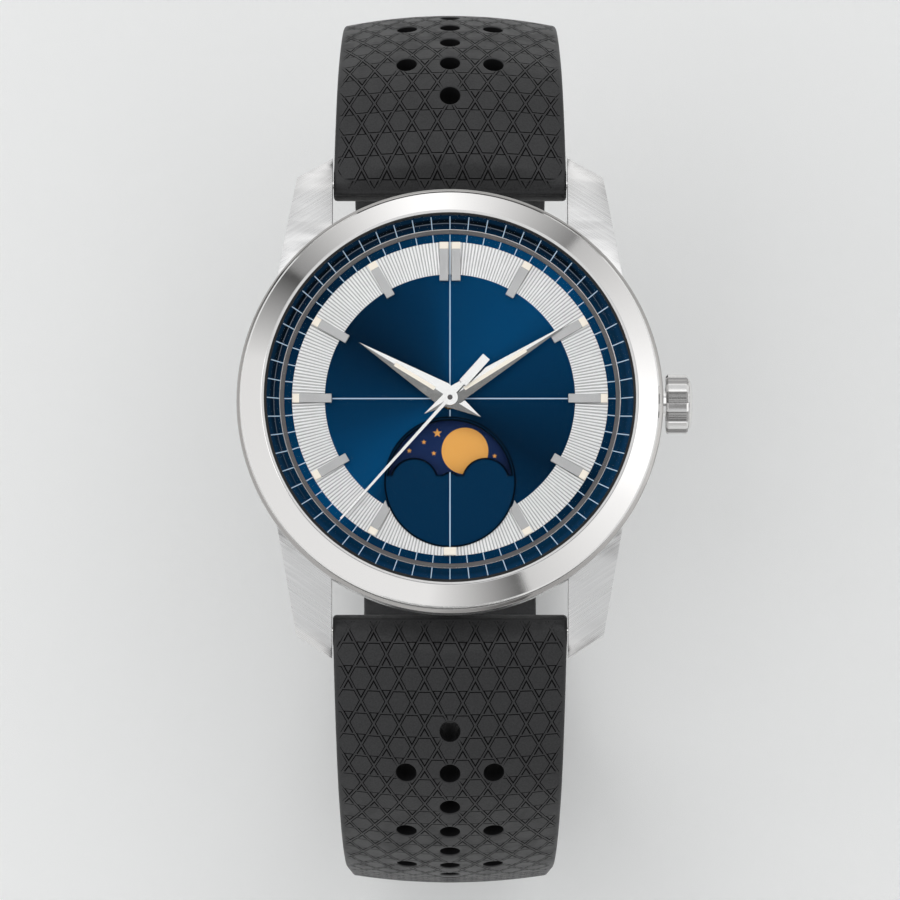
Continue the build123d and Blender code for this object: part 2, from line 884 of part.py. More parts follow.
# Plates and bridges
def main_plate():
    body = disc(movement_radius, plate_low, plate_high)
    body += ring(movement_radius, movement_radius - movement_wall, bridge_high, plate_low)
    foot = polar(cock_foot_distance, cock_foot_angle)
    body += Pos(*foot, 0) * disc(cock_foot_radius, bridge_high, plate_low)
    body += Pos(*moon_axis, 0) * disc(moon_post_radius, plate_high, moon_high)
    stud_top = plate_high + motion_room / 2
    body += Pos(*minute_axis, 0) * disc(minute_stud_radius, plate_high, stud_top)
    body -= disc(centre_tube + running_gap, 0, dial_low)
    pivot_holes = (third_axis, escape_axis, pallet_axis, balance_axis)
    for axis in pivot_holes:
        body -= Pos(*axis, 0) * disc(pivot_radius + running_gap, 0, pivot_end_high + air_gap)
    arbor_hole = disc(barrel_arbor_radius + running_gap, 0, pivot_end_high + air_gap)
    body -= Pos(*barrel_axis, 0) * arbor_hole
    body -= rod_x(tube_bore, movement_radius / 2, movement_radius + cut_extra, 0, stem_level)
    return body


def movement_ring():
    body = ring(case_bore, movement_radius, rotor_high, dial_low)
    return body - rod_x(tube_radius, movement_radius - cut_extra, case_bore + cut_extra, 0, stem_level)


def balance_room(margin):
    return Pos(*balance_axis, 0) * disc(balance_radius + margin, -cut_extra, dial_high)


def barrel_side(margin):
    shift_x, shift_y = (barrel_distance * share for share in barrel_bridge_shift_shares)
    centre = Pos(barrel_axis[0] + shift_x, barrel_axis[1] + shift_y, 0)
    return centre * disc(barrel_pitch + barrel_distance / 2 - margin, -cut_extra, dial_high)


def bridge_blank():
    return disc(movement_radius - running_gap / 2, bridge_low, bridge_high)


def pinion_slot():
    half = stem_level - bridge_low + air_gap
    return block(pinion_inner_end - air_gap, pinion_outer_end + air_gap, -half, half, 0, stem_level)


def barrel_bridge():
    body = bridge_blank() & barrel_side(bridge_slot)
    body -= Pos(*barrel_axis, 0) * disc(barrel_arbor_radius + running_gap, 0, dial_low)
    body -= Pos(*crown_wheel_axis, 0) * disc(pivot_radius * 2 + running_gap, 0, dial_low)
    body -= disc(jewel_radius + rotor_bearing_radius, 0, dial_low)
    return body - pinion_slot()


def jewel_axes():
    return ((0, 0), third_axis, escape_axis, pallet_axis)


def train_bridge():
    body = bridge_blank() - barrel_side(0)
    body += disc(rotor_bearing_radius + jewel_radius - bridge_slot, bridge_low, bridge_high)
    body -= balance_room(balance_rim)
    body -= cock_blank(bridge_slot)
    body -= pinion_slot()
    for axis in jewel_axes():
        body -= Pos(*axis, 0) * disc(jewel_radius, 0, dial_low)
    return body


def cock_blank(margin):
    foot = polar(cock_foot_distance, cock_foot_angle)
    low, high = bridge_low, bridge_high
    eye = Pos(*balance_axis) * Circle(cock_eye_radius + margin)
    base = Pos(*foot) * Circle(cock_foot_radius + margin)
    arm = make_hull((eye + base).edges())
    return Pos(0, 0, low) * extrude(arm, amount=high - low)


def balance_cock():
    body = cock_blank(0)
    body -= Pos(*balance_axis, 0) * disc(jewel_radius, 0, dial_low)
    stud_place = spring_outer_radius + spring_thickness / 2 + pivot_radius
    stud = Pos(stud_place, 0, 0) * disc(pivot_radius, bridge_low, level(spring_share) + spring_height)
    arm = block(0, stud_place, -pivot_radius, pivot_radius, bridge_low, bridge_high)
    arm -= disc(jewel_radius, 0, dial_low)
    return body + Pos(*balance_axis, 0) * (stud + arm)


def jewels():
    body = Part()
    for axis in (*jewel_axes(), balance_axis):
        body += Pos(*axis, 0) * ring(jewel_radius, pivot_radius + running_gap, bridge_low, bridge_high)
    return body


# Hand drive
def cannon_pinion():
    body = gear(cannon_teeth, cannon_pitch, plate_high + air_gap, motion_step, 0)
    body += disc(cannon_tube_radius, motion_step, minute_hand_low + hand_ridge)
    return body - disc(centre_bore, 0, crystal_low)


def minute_wheel():
    low = plate_high + air_gap
    body = gear(minute_wheel_teeth, minute_wheel_pitch, low, low + wheel_height, 0)
    high = plate_high + motion_room * minute_pinion_share
    body += gear(minute_pinion_teeth, minute_pinion_pitch, low, high, 0)
    body -= disc(minute_stud_radius + running_gap, 0, dial_low)
    return Pos(*minute_axis, 0) * body


def hour_wheel():
    low = motion_step + running_gap
    body = gear(hour_wheel_teeth, hour_wheel_pitch, low, low + wheel_height, 0)
    body += disc(hour_tube_radius, low, hour_hand_low + hand_ridge)
    return body - disc(cannon_tube_radius + running_gap, 0, crystal_low)


# Hands
def faceted(length, tail, width, low):
    side = width / 2
    outline = make_face(
        Polyline((0, -tail), (side, hand_widest), (0, length), (-side, hand_widest), close=True)
    )
    base = Pos(0, 0, low) * extrude(outline, amount=hand_edge)
    top = Pos(0, 0, low + hand_edge) * outline
    return base + loft([top.face(), Vertex(0, hand_widest, low + hand_ridge)], ruled=True)


def lume_slot(start, end, low):
    half = lume_width / 2
    return block(-half, half, start, end, low - cut_extra, low + cut_extra)


def dressed_hand(blank, hub_radius, bore, low, slot):
    body = blank - slot + disc(hub_radius, low, low + hand_edge)
    return body - disc(bore, low - cut_extra, low + cut_extra)


def hour_blank():
    return faceted(hour_hand_length, hour_hand_tail, hour_hand_width, hour_hand_low)


def minute_blank():
    return faceted(minute_hand_length, minute_hand_tail, minute_hand_width, minute_hand_low)


def hour_hand():
    slot = lume_slot(hour_lume_start, hour_lume_end, hour_hand_low)
    body = dressed_hand(hour_blank(), hour_hub_radius, hour_tube_radius, hour_hand_low, slot)
    return Rot(0, 0, -hour_hand_angle) * body


def hour_hand_lume():
    slot = lume_slot(hour_lume_start, hour_lume_end, hour_hand_low)
    return Rot(0, 0, -hour_hand_angle) * (hour_blank() & slot)


def minute_hand():
    slot = lume_slot(minute_lume_start, minute_lume_end, minute_hand_low)
    body = dressed_hand(minute_blank(), minute_hub_radius, cannon_tube_radius, minute_hand_low, slot)
    return Rot(0, 0, -minute_hand_angle) * body


def minute_hand_lume():
    slot = lume_slot(minute_lume_start, minute_lume_end, minute_hand_low)
    return Rot(0, 0, -minute_hand_angle) * (minute_blank() & slot)


def seconds_hand():
    root, tip = seconds_hand_width / 2, seconds_tip_width / 2
    right = ((root, -paddle_start), (tip, seconds_hand_length))
    left = ((-tip, seconds_hand_length), (-root, -paddle_start))
    outline = make_face(Polyline(*right, *left, close=True)) + Circle(seconds_hub_radius)
    outline += Pos(0, -paddle_start - paddle_length / 2) * Rectangle(paddle_width, paddle_length)
    body = Pos(0, 0, seconds_hand_low) * extrude(outline, amount=seconds_hand_height)
    return Rot(0, 0, -seconds_hand_angle) * body


# Rotor
def rotor():
    outer = movement_radius - rotor_clearance
    web_low = rotor_high - rotor_web_height
    body = ring(outer, outer - rotor_rim_width, rotor_low, rotor_high)
    web = ring(outer - rotor_rim_width / 2, rotor_bearing_radius, web_low, rotor_high)
    hub = rotor_hub_radius + rotor_window_margin
    window = ring(outer - rotor_rim_width, hub, rotor_low, rotor_high + cut_extra)
    for turn in rotor_spoke_angles:
        spoke = Pos(outer / 2, 0, rotor_low) * Box(outer, 2 * rotor_window_margin, 2 * cut_extra)
        window -= Rot(0, 0, turn) * spoke
    body = body + web - window
    body &= block(-outer, outer, 0, outer, rotor_low - cut_extra, rotor_high + cut_extra)
    body += ring(rotor_hub_radius, rotor_bearing_radius, web_low, rotor_high)
    return body - disc(rotor_bearing_radius + running_gap, 0, dial_low)


def rotor_bearing():
    return disc(rotor_bearing_radius, rotor_low + air_gap, bridge_low)


# Strap halves
class Half:
    def __init__(self, side, length, run_shares, slopes, tip_length):
        self.side = side
        self.length = length
        self.slopes = slopes
        self.runs = [length * share / sum(run_shares) for share in run_shares]
        self.tip_length = tip_length

    def walk(self, distance):
        reach, height, slope = spring_bar_reach, bar_height, self.slopes[0]
        for index, run in enumerate(self.runs):
            start, end = self.slopes[index], self.slopes[index + 1]
            step = min(distance, run)
            slope = start + (end - start) * step / run
            if end == start:
                reach += step * math.cos(math.radians(start))
                height -= step * math.sin(math.radians(start))
            else:
                radius = run / math.radians(end - start)
                reach += radius * (math.sin(math.radians(slope)) - math.sin(math.radians(start)))
                height -= radius * (math.cos(math.radians(start)) - math.cos(math.radians(slope)))
            distance -= step
            if distance <= 0:
                break
        return reach, height, slope

    def point(self, distance, x, outward):
        reach, height, slope = self.walk(distance)
        turn = math.radians(slope)
        return Vector(x, self.side * (reach + outward * math.sin(turn)), height + outward * math.cos(turn))

    def taper(self, distance):
        return min(distance / strap_taper_length, 1)

    def width(self, distance):
        return strap_width + (strap_end_width - strap_width) * self.taper(distance)

    def edge(self, distance):
        return strap_edge + (strap_end_edge - strap_edge) * self.taper(distance)

    def rise(self, distance):
        share = min(distance / strap_shoulder, 1)
        for (start, low), (end, high) in zip(strap_shoulder_shares, strap_shoulder_shares[1:]):
            if share <= end:
                return low + (high - low) * (share - start) / (end - start)

    def crest(self, distance):
        dome = strap_dome + (strap_end_dome - strap_dome) * self.taper(distance)
        return self.edge(distance) + dome * self.rise(distance)

    def section(self, distance, width_share=1):
        half = self.width(distance) * width_share / 2
        low_left = self.point(distance, -half, -strap_inner)
        low_right = self.point(distance, half, -strap_inner)
        top_right = self.point(distance, half, self.edge(distance))
        top_left = self.point(distance, -half, self.edge(distance))
        crest = self.point(distance, 0, self.crest(distance))
        edges = [
            Edge.make_line(low_left, low_right),
            Edge.make_line(low_right, top_right),
            Edge.make_three_point_arc(top_right, crest, top_left),
            Edge.make_line(top_left, low_left),
        ]
        return Face(Wire(edges))

    def stations(self):
        places, start = [strap_shoulder * share for share, _ in strap_shoulder_shares], 0
        for index, run in enumerate(self.runs):
            turn = self.slopes[index + 1] - self.slopes[index]
            steps = max(1, math.ceil(turn / strap_step_angle))
            places += [start + run * (step + 1) / steps for step in range(steps)]
            start += run
        return sorted(places)

    def body(self):
        body_end = self.length - self.tip_length
        places = [place for place in self.stations() if place < body_end] + [body_end]
        sections = [self.section(place) for place in places]
        if self.tip_length > 0:
            for along_share, width_share in strap_tip_shares:
                sections.append(self.section(body_end + self.tip_length * along_share, width_share))
        return loft(sections, ruled=True)

    def hole(self, distance, x):
        base = self.point(distance, x, -strap_inner - cut_extra)
        aim = self.point(distance, x, strap_dome)
        depth = 2 * (strap_inner + strap_dome + cut_extra)
        return Plane(origin=base, z_dir=aim - base) * extrude(Circle(strap_hole_radius), amount=depth)

    def holes(self, first, rows, side_rows):
        cutters = []
        for row in range(rows):
            distance = first + row * strap_hole_pitch
            cutters.append(self.hole(distance, 0))
            if row % 2 == 1 and row < side_rows:
                cutters += [self.hole(distance, strap_side_hole), self.hole(distance, -strap_side_hole)]
        return cutters


short_half = Half(1, short_half_length, short_run_shares, short_slopes, 0)
long_half = Half(-1, long_half_length, long_run_shares, long_slopes, strap_tip_length)
buckle_y, buckle_z = short_half.walk(short_half_length)[:2]


def strap_nose(half):
    y = half.side * spring_bar_reach
    return rod_x(strap_nose_radius, -strap_width / 2, strap_width / 2, y, bar_height)


def bar_bore(half):
    y = half.side * spring_bar_reach
    bore = bar_tube_radius + running_gap
    return rod_x(bore, -strap_width, strap_width, y, bar_height)


def strap_12():
    body = short_half.body() + strap_nose(short_half)
    half = strap_end_width / 2
    body += rod_x(strap_end_radius, -half, half, buckle_y, buckle_z)
    body -= bar_bore(short_half)
    body -= rod_x(buckle_bar_radius + running_gap, -strap_width, strap_width, buckle_y, buckle_z)
    slot = tongue_slot_width / 2
    reach = strap_end_radius + cut_extra
    low, high = buckle_z - 2 * reach, buckle_z + reach
    body -= block(-slot, slot, buckle_y - reach, buckle_y + tongue_slot_length, low, high)
    for cutter in short_half.holes(short_first_hole, short_hole_rows, side_hole_rows):
        body -= cutter
    return body


def strap_6():
    body = long_half.body() + strap_nose(long_half) - bar_bore(long_half)
    for cutter in long_half.holes(long_first_hole, long_hole_rows, side_hole_rows):
        body -= cutter
    foot = long_half.point(long_half_length, 0, long_half.crest(long_half_length) - strap_rest_cut)
    flank = (strap_width, long_half_length)
    return body - block(-flank[0], flank[0], -flank[1], flank[1], foot.Z - cut_extra, foot.Z)


# Keepers and buckle, on the level last run of the short half
def keeper(back, gap):
    place = short_half_length - back
    y = buckle_y + back
    crest = short_half.crest(place)
    tail = strap_inner + long_half.crest(long_half_length)
    half = short_half.width(place - keeper_width / 2) / 2 + gap
    top = buckle_z + strap_inner + gap
    bottom = buckle_z - crest - tail - keeper_room
    low_y, high_y = y - keeper_width / 2, y + keeper_width / 2
    wall = keeper_wall
    body = block(-half - wall, half + wall, low_y, high_y, bottom - wall, top + wall)
    body = fillet(body.edges().filter_by(Axis.Y), keeper_corner)
    return body - block(-half, half, low_y - cut_extra, high_y + cut_extra, bottom, top)


buckle_inner = strap_end_width / 2 + loose_gap
buckle_outer = buckle_inner + buckle_arm_width


def buckle_frame():
    half = buckle_height / 2
    eye = half + running_gap
    end = buckle_y - buckle_length
    body = block(-buckle_outer, buckle_outer, end, buckle_y, buckle_z - half, buckle_z + half)
    body = fillet(body.edges().filter_by(Axis.Z).sort_by(Axis.Y)[:2], buckle_corner)
    body += rod_x(eye, -buckle_outer, buckle_outer, buckle_y, buckle_z)
    inner_end = end + buckle_end_width
    low, high = buckle_z - buckle_height, buckle_z + buckle_height
    body -= block(-buckle_inner, buckle_inner, inner_end, buckle_y + 2 * cut_extra, low, high)
    return body - rod_x(buckle_bar_radius, -strap_width, strap_width, buckle_y, buckle_z)


def buckle_bar():
    return rod_x(buckle_bar_radius, -buckle_outer, buckle_outer, buckle_y, buckle_z)


def buckle_tongue():
    face = buckle_height / 2 + running_gap
    outer = face + tongue_height
    half = tongue_ring_width / 2
    body = rod_x(outer, -half, half, buckle_y, buckle_z)
    end = buckle_y - buckle_length - tongue_overhang
    side = tongue_width / 2
    body += block(-side, side, end, buckle_y, buckle_z - outer, buckle_z - face)
    return body - rod_x(buckle_bar_radius + running_gap, -strap_width, strap_width, buckle_y, buckle_z)


def build_case():
    save("case_middle", case_middle())
    save("bezel", bezel())
    save("crystal", crystal())
    save("crystal_gasket", ring(bezel_bore, crystal_radius, crystal_low, crystal_low + gasket_height))
    save("rehaut_ring", rehaut_ring())
    save("case_back_ring", case_back_ring())
    save("case_back_crystal", disc(back_crystal_radius, 0, back_crystal_height))
    seat = back_crystal_radius + gasket_wall
    save("case_back_gasket", ring(seat, back_crystal_radius, gasket_wall, back_crystal_height))
    save("crown", crown())
    save("crown_gasket", crown_gasket())
    save("crown_tube", crown_tube())
    for name, side in (("12", 1), ("6", -1)):
        save(f"spring_bar_{name}", spring_bar(side))
        save(f"bar_tip_{name}_right", bar_tip(side, 1))
        save(f"bar_tip_{name}_left", bar_tip(side, -1))


def build_dial():
    save("dial_plate", dial_plate())
    save("hour_ring", hour_ring())
    save("hour_markers", hour_markers())
    save("marker_lume", marker_lume())
    save("moon_plate", moon_plate())
    save("moon_disc", moon_disc())
    save("moon_figures", moon_figures())
    save("hour_hand", hour_hand())
    save("hour_hand_lume", hour_hand_lume())
    save("minute_hand", minute_hand())
    save("minute_hand_lume", minute_hand_lume())
    save("seconds_hand", seconds_hand())


def build_movement():
    save("main_plate", main_plate())
    save("movement_ring", movement_ring())
    save("barrel_bridge", barrel_bridge())
    save("train_bridge", train_bridge())
    save("balance_cock", balance_cock())
    save("jewels", jewels())
    save("barrel", barrel())
    save("ratchet_wheel", ratchet_wheel())
    save("crown_wheel", crown_wheel())
    save("centre_wheel", centre_wheel())
    save("third_wheel", third_wheel())
    save("fourth_wheel", fourth_wheel())
    save("escape_wheel", escape_wheel())
    save("pallet_fork", pallet_fork())
    save("balance_wheel", balance_wheel())
    save("balance_spring", balance_spring())
    save("cannon_pinion", cannon_pinion())
    save("minute_wheel", minute_wheel())
    save("hour_wheel", hour_wheel())
    save("rotor", rotor())
    save("rotor_bearing", rotor_bearing())
    save("winding_stem", rod_x(stem_radius, stem_start, stem_end, 0, stem_level))
    save("winding_pinion", stem_pinion(pinion_inner_end, winding_pinion_length, stem_level - bridge_low))
    sliding_start = sliding_outer_end - sliding_pinion_length
    save("sliding_pinion", stem_pinion(sliding_start, sliding_pinion_length, sliding_pinion_radius))


def stem_pinion(start, length, radius):
    depth = radius * pinion_tooth_share
    outline = toothed(pinion_teeth, radius - depth, radius - running_gap, 0)
    outline -= Circle(stem_radius + running_gap)
    return Pos(start, 0, stem_level) * Rot(0, 90, 0) * extrude(outline, amount=length)


def build_strap():
    save("strap_12", strap_12())
    save("strap_6", strap_6())
    save("keeper_fixed", keeper(fixed_keeper_back, running_gap))
    save("keeper_free", keeper(free_keeper_back, loose_gap))
    save("buckle_frame", buckle_frame())
    save("buckle_bar", buckle_bar())
    save("buckle_tongue", buckle_tongue())


build_case()
build_dial()
build_movement()
build_strap()
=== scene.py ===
import math
import bmesh
import bpy
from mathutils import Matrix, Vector, geometry


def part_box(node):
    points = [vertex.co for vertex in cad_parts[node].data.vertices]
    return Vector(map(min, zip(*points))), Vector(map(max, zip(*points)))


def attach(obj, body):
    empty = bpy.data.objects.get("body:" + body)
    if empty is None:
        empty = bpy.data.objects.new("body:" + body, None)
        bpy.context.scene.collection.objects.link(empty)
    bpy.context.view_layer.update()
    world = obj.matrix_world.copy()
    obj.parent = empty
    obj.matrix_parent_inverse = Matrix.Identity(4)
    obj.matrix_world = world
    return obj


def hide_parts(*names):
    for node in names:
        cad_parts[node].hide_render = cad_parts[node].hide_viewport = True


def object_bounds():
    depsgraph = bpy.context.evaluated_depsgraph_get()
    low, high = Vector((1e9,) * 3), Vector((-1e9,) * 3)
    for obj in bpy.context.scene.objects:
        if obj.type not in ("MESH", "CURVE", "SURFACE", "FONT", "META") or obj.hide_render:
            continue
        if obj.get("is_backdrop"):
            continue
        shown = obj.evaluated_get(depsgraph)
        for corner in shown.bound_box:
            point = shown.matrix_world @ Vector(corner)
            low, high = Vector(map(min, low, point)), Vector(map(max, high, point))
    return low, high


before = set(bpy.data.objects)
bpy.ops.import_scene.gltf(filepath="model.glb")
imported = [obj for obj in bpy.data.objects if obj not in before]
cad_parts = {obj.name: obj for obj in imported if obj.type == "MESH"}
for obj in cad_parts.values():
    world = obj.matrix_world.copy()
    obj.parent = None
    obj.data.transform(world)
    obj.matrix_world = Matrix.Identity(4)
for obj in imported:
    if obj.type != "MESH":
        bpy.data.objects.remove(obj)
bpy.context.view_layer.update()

scene = bpy.context.scene
mm = 0.001

cameraValues = {
    "target": (0.0, -4.35, 7.4),  # mm
    "tilt": 6.4,  # degrees from straight above, towards 6 o'clock
    "distance": 600.0,
    "lens": 285.6,
}


def addObject(name, data):
    made = bpy.data.objects.new(name, data)
    scene.collection.objects.link(made)
    return made


def addCamera(values):
    tilt = math.radians(values["tilt"])
    camera = addObject("camera", bpy.data.cameras.new("camera"))
    offset = Vector((0, -math.sin(tilt), math.cos(tilt))) * values["distance"]
    camera.location = (Vector(values["target"]) + offset) * mm
    camera.rotation_euler = (tilt, 0, 0)
    camera.data.lens = values["lens"]
    camera.data.sensor_width = 36
    camera.data.clip_start = 0.01
    camera.data.clip_end = 10
    scene.camera = camera


addCamera(cameraValues)
print("camera ready")


def linear(*rgb):
    out = []
    for value in rgb:
        value /= 255
        out.append(value / 12.92 if value <= 0.04045 else ((value + 0.055) / 1.055) ** 2.4)
    return (*out, 1.0)


# A socket takes a link from another node or a plain value
def feed(tree, socket, value):
    if isinstance(value, bpy.types.NodeSocket):
        tree.links.new(value, socket)
    else:
        socket.default_value = value


def node(tree, kind, inputs=None, **settings):
    made = tree.nodes.new("ShaderNode" + kind)
    for key, value in settings.items():
        setattr(made, key, value)
    for key, value in (inputs or {}).items():
        feed(tree, made.inputs[key], value)
    return made


def calc(tree, operation, *values):
    return node(tree, "Math", dict(enumerate(values)), operation=operation).outputs[0]


def remap(tree, value, low, high, outLow=0.0, outHigh=1.0):
    inputs = {"Value": value, "From Min": low, "From Max": high, "To Min": outLow, "To Max": outHigh}
    return node(tree, "MapRange", inputs, interpolation_type="SMOOTHSTEP").outputs["Result"]


def mixColour(tree, share, first, second):
    made = node(tree, "Mix", data_type="RGBA")
    for index, value in ((0, share), (6, first), (7, second)):
        feed(tree, made.inputs[index], value)
    return made.outputs[2]


def ramp(tree, value, stops):
    made = node(tree, "ValToRGB", {"Fac": value})
    elements = made.color_ramp.elements
    made.color_ramp.interpolation = "LINEAR"
    while len(elements) < len(stops):
        elements.new(0.5)
    for element, (place, colour) in zip(elements, stops):
        element.position = place
        element.color = colour
    return made.outputs["Color"]


def noise(tree, place, scale, detail, roughness=0.5):
    inputs = {"Vector": place, "Scale": scale, "Detail": detail, "Roughness": roughness}
    return node(tree, "TexNoise", inputs).outputs["Fac"]


def millimetres(tree):
    place = node(tree, "TexCoord").outputs["Object"]
    return node(tree, "VectorMath", {0: place, "Scale": 1000.0}, operation="SCALE").outputs[0]


def combine(tree, *parts):
    return node(tree, "CombineXYZ", dict(enumerate(parts))).outputs[0]


def split(tree, vector):
    return node(tree, "SeparateXYZ", {0: vector}).outputs


def group(name, inputs, outputs, build):
    tree = bpy.data.node_groups.new(name, "ShaderNodeTree")
    for label, kind, value in inputs:
        socket = tree.interface.new_socket(label, in_out="INPUT", socket_type="NodeSocket" + kind)
        if value is not None:
            socket.default_value = value
    for label, kind in outputs:
        tree.interface.new_socket(label, in_out="OUTPUT", socket_type="NodeSocket" + kind)
    source = tree.nodes.new("NodeGroupInput")
    target = tree.nodes.new("NodeGroupOutput")
    for label, socket in build(tree, source.outputs).items():
        tree.links.new(socket, target.inputs[label])
    return tree


def useGroup(tree, groupTree, **inputs):
    return node(tree, "Group", inputs, node_tree=groupTree).outputs


def material(name, base, roughness, metallic=0.0, specular=0.5):
    made = bpy.data.materials.new(name)
    made.use_nodes = True
    tree = made.node_tree
    shader = tree.nodes["Principled BSDF"]
    values = {"Base Color": base, "Roughness": roughness, "Metallic": metallic}
    for key, value in {**values, "Specular IOR Level": specular}.items():
        shader.inputs[key].default_value = value
    made.diffuse_color = base
    return made, tree, shader


def paint(tree, shader, tone):
    tree.links.new(tone, shader.inputs["Base Color"])


def polish(tree, shader, roughness):
    tree.links.new(roughness, shader.inputs["Roughness"])


def bump(tree, shader, height, distance):
    inputs = {"Height": height, "Distance": distance * mm, "Strength": 1.0}
    tree.links.new(node(tree, "Bump", inputs).outputs[0], shader.inputs["Normal"])


# Fine scratches and handling marks: a mask, and a height in the same fine grain
def buildWear(tree, source):
    place = millimetres(tree)
    cloud = noise(tree, place, source["Scale"], 6.0, 0.65)
    value = calc(tree, "MULTIPLY", remap(tree, cloud, 0.42, 0.7), source["Amount"])
    return {"Roughness": calc(tree, "ADD", source["Base"], value), "Height": noise(tree, place, 14.0, 3.0)}


wear = group(
    "handlingWear",
    [("Scale", "Float", 0.6), ("Amount", "Float", 0.05), ("Base", "Float", 0.1)],
    [("Roughness", "Float"), ("Height", "Float")],
    buildWear,
)


# Handling marks on a finish: sets its roughness and gives the height of the fine grain
def addWear(tree, shader, scale, amount, base):
    marks = useGroup(tree, wear, Scale=scale, Amount=amount, Base=base)
    polish(tree, shader, marks["Roughness"])
    return marks["Height"]


# Long fine lines along X of the given coordinates
def buildBrush(tree, source):
    stretch = node(tree, "Mapping", {"Vector": source["Vector"]})
    stretch.inputs["Scale"].default_value = (0.05, 10.0, 10.0)
    return {"Lines": remap(tree, noise(tree, stretch.outputs[0], 1.0, 5.0, 0.7), 0.3, 0.7)}


brush = group("brushLines", [("Vector", "Vector", None)], [("Lines", "Float")], buildBrush)


# Angle about an upright axis, 0 to 1 clockwise from 12 o'clock, and the distance from it in mm
def buildPolar(tree, source):
    place = node(tree, "VectorMath", {0: millimetres(tree), 1: source["Centre"]}, operation="SUBTRACT")
    axes = split(tree, place.outputs[0])
    turn = calc(tree, "DIVIDE", calc(tree, "ARCTAN2", axes[0], axes[1]), 2 * math.pi)
    flat = combine(tree, axes[0], axes[1])
    radius = node(tree, "VectorMath", {0: flat}, operation="LENGTH").outputs["Value"]
    return {"Turn": calc(tree, "FRACT", calc(tree, "ADD", turn, 1.0)), "Radius": radius}


polar = group(
    "polarPlace", [("Centre", "Vector", None)], [("Turn", "Float"), ("Radius", "Float")], buildPolar
)


def polishedSteel():
    made, tree, shader = material("polishedSteel", (0.86, 0.85, 0.84, 1), 0.06, 1.0)
    bump(tree, shader, addWear(tree, shader, 0.35, 0.07, 0.045), 0.0015)
    return made


# Brushed round the flank and slantwise on the lugs, with a polished rim under the bezel whose colour is
# darkened as painted shade
def brushedCase():
    made, tree, shader = material("brushedCase", (0.72, 0.71, 0.70, 1), 0.27, 1.0)
    axes = split(tree, millimetres(tree))
    corner = combine(tree, calc(tree, "ABSOLUTE", axes[0]), calc(tree, "ABSOLUTE", axes[1]))
    turned = node(tree, "Mapping", {"Vector": corner})
    turned.inputs["Rotation"].default_value = (0, 0, math.radians(34))
    flank = combine(tree, calc(tree, "MULTIPLY", useGroup(tree, polar)["Turn"], 110.0), axes[2])
    facing = split(tree, node(tree, "NewGeometry").outputs["Normal"])[2]
    upward = remap(tree, calc(tree, "ABSOLUTE", facing), 0.4, 0.6)
    along = mixColour(tree, upward, flank, turned.outputs[0])
    lines = useGroup(tree, brush, Vector=along)["Lines"]
    # The rim under the bezel is painted darker: painted shade
    rim = remap(tree, axes[2], 6.0, 6.1)
    rough = remap(tree, lines, 0, 1, 0.25, 0.38)
    polish(tree, shader, calc(tree, "MULTIPLY", rough, remap(tree, rim, 0, 1, 1, 0.3)))
    tone = mixColour(tree, lines, (0.66, 0.655, 0.65, 1), (0.85, 0.845, 0.84, 1))
    paint(tree, shader, mixColour(tree, rim, tone, (0.42, 0.41, 0.40, 1)))
    bump(tree, shader, calc(tree, "MULTIPLY", lines, remap(tree, rim, 0, 1, 1, 0)), 0.0007)
    return made


def satinSteel():
    made, tree, shader = material("satinSteel", (0.72, 0.71, 0.70, 1), 0.3, 1.0)
    place = useGroup(tree, polar)
    ring = combine(tree, calc(tree, "MULTIPLY", place["Turn"], 60.0), place["Radius"])
    lines = useGroup(tree, brush, Vector=ring)["Lines"]
    polish(tree, shader, remap(tree, lines, 0, 1, 0.2, 0.38))
    bump(tree, shader, lines, 0.003)
    return made


def buckleSteel():
    made, tree, shader = material("buckleSteel", (0.74, 0.73, 0.72, 1), 0.25, 1.0)
    lines = useGroup(tree, brush, Vector=millimetres(tree))["Lines"]
    polish(tree, shader, remap(tree, lines, 0, 1, 0.2, 0.32))
    bump(tree, shader, lines, 0.0004)
    return made


# Sunray blue with a painted sheen: how bright the lamps' reflection is painted at each angle from 12
# o'clock, in two bright and two dark fans
dialValues = {
    "blue": (1, 66, 109),
    "paintedSheen": [
        (0, 0.77), (30, 0.97), (45, 1.0), (65, 0.61), (85, 0.47), (125, 0.22), (155, 0.47), (205, 0.47),
        (215, 0.55), (225, 1.09), (235, 0.98), (255, 0.62), (305, 0.19), (345, 0.51), (360, 0.77),
    ],
}


def dialBlue():
    made, tree, shader = material("dialBlue", linear(1, 60, 100), 0.3, specular=0.02)
    place = useGroup(tree, polar)
    blue = linear(*dialValues["blue"])[:3]
    stops = [(at / 360, (*[level * part for part in blue], 1)) for at, level in dialValues["paintedSheen"]]
    # Painted sheen: the blue scaled by angle in place of the sunray's real reflection
    colour = ramp(tree, place["Turn"], stops)
    rays = combine(tree, calc(tree, "MULTIPLY", place["Turn"], 900.0))
    lines = remap(tree, noise(tree, rays, 1.0, 2.0), 0.3, 0.7)
    gain = remap(tree, lines, 0, 1, 0.92, 1.1)
    paint(tree, shader, node(tree, "VectorMath", {0: colour, "Scale": gain}, operation="SCALE").outputs[0])
    bump(tree, shader, lines, 0.002)
    return made


def plainBlue(name, colour):
    made, tree, shader = material(name, linear(*colour), 0.35, specular=0.02)
    bump(tree, shader, addWear(tree, shader, 0.8, 0.08, 0.3), 0.001)
    return made


# Radii in mm of the plate, its window and the humps of the window's lower edge
moonValues = {
    "centre": -7.0498, "plate": 5.53, "window": 5.17, "humpSide": 3.0, "hump": 2.03, "middleHump": 0.85,
}
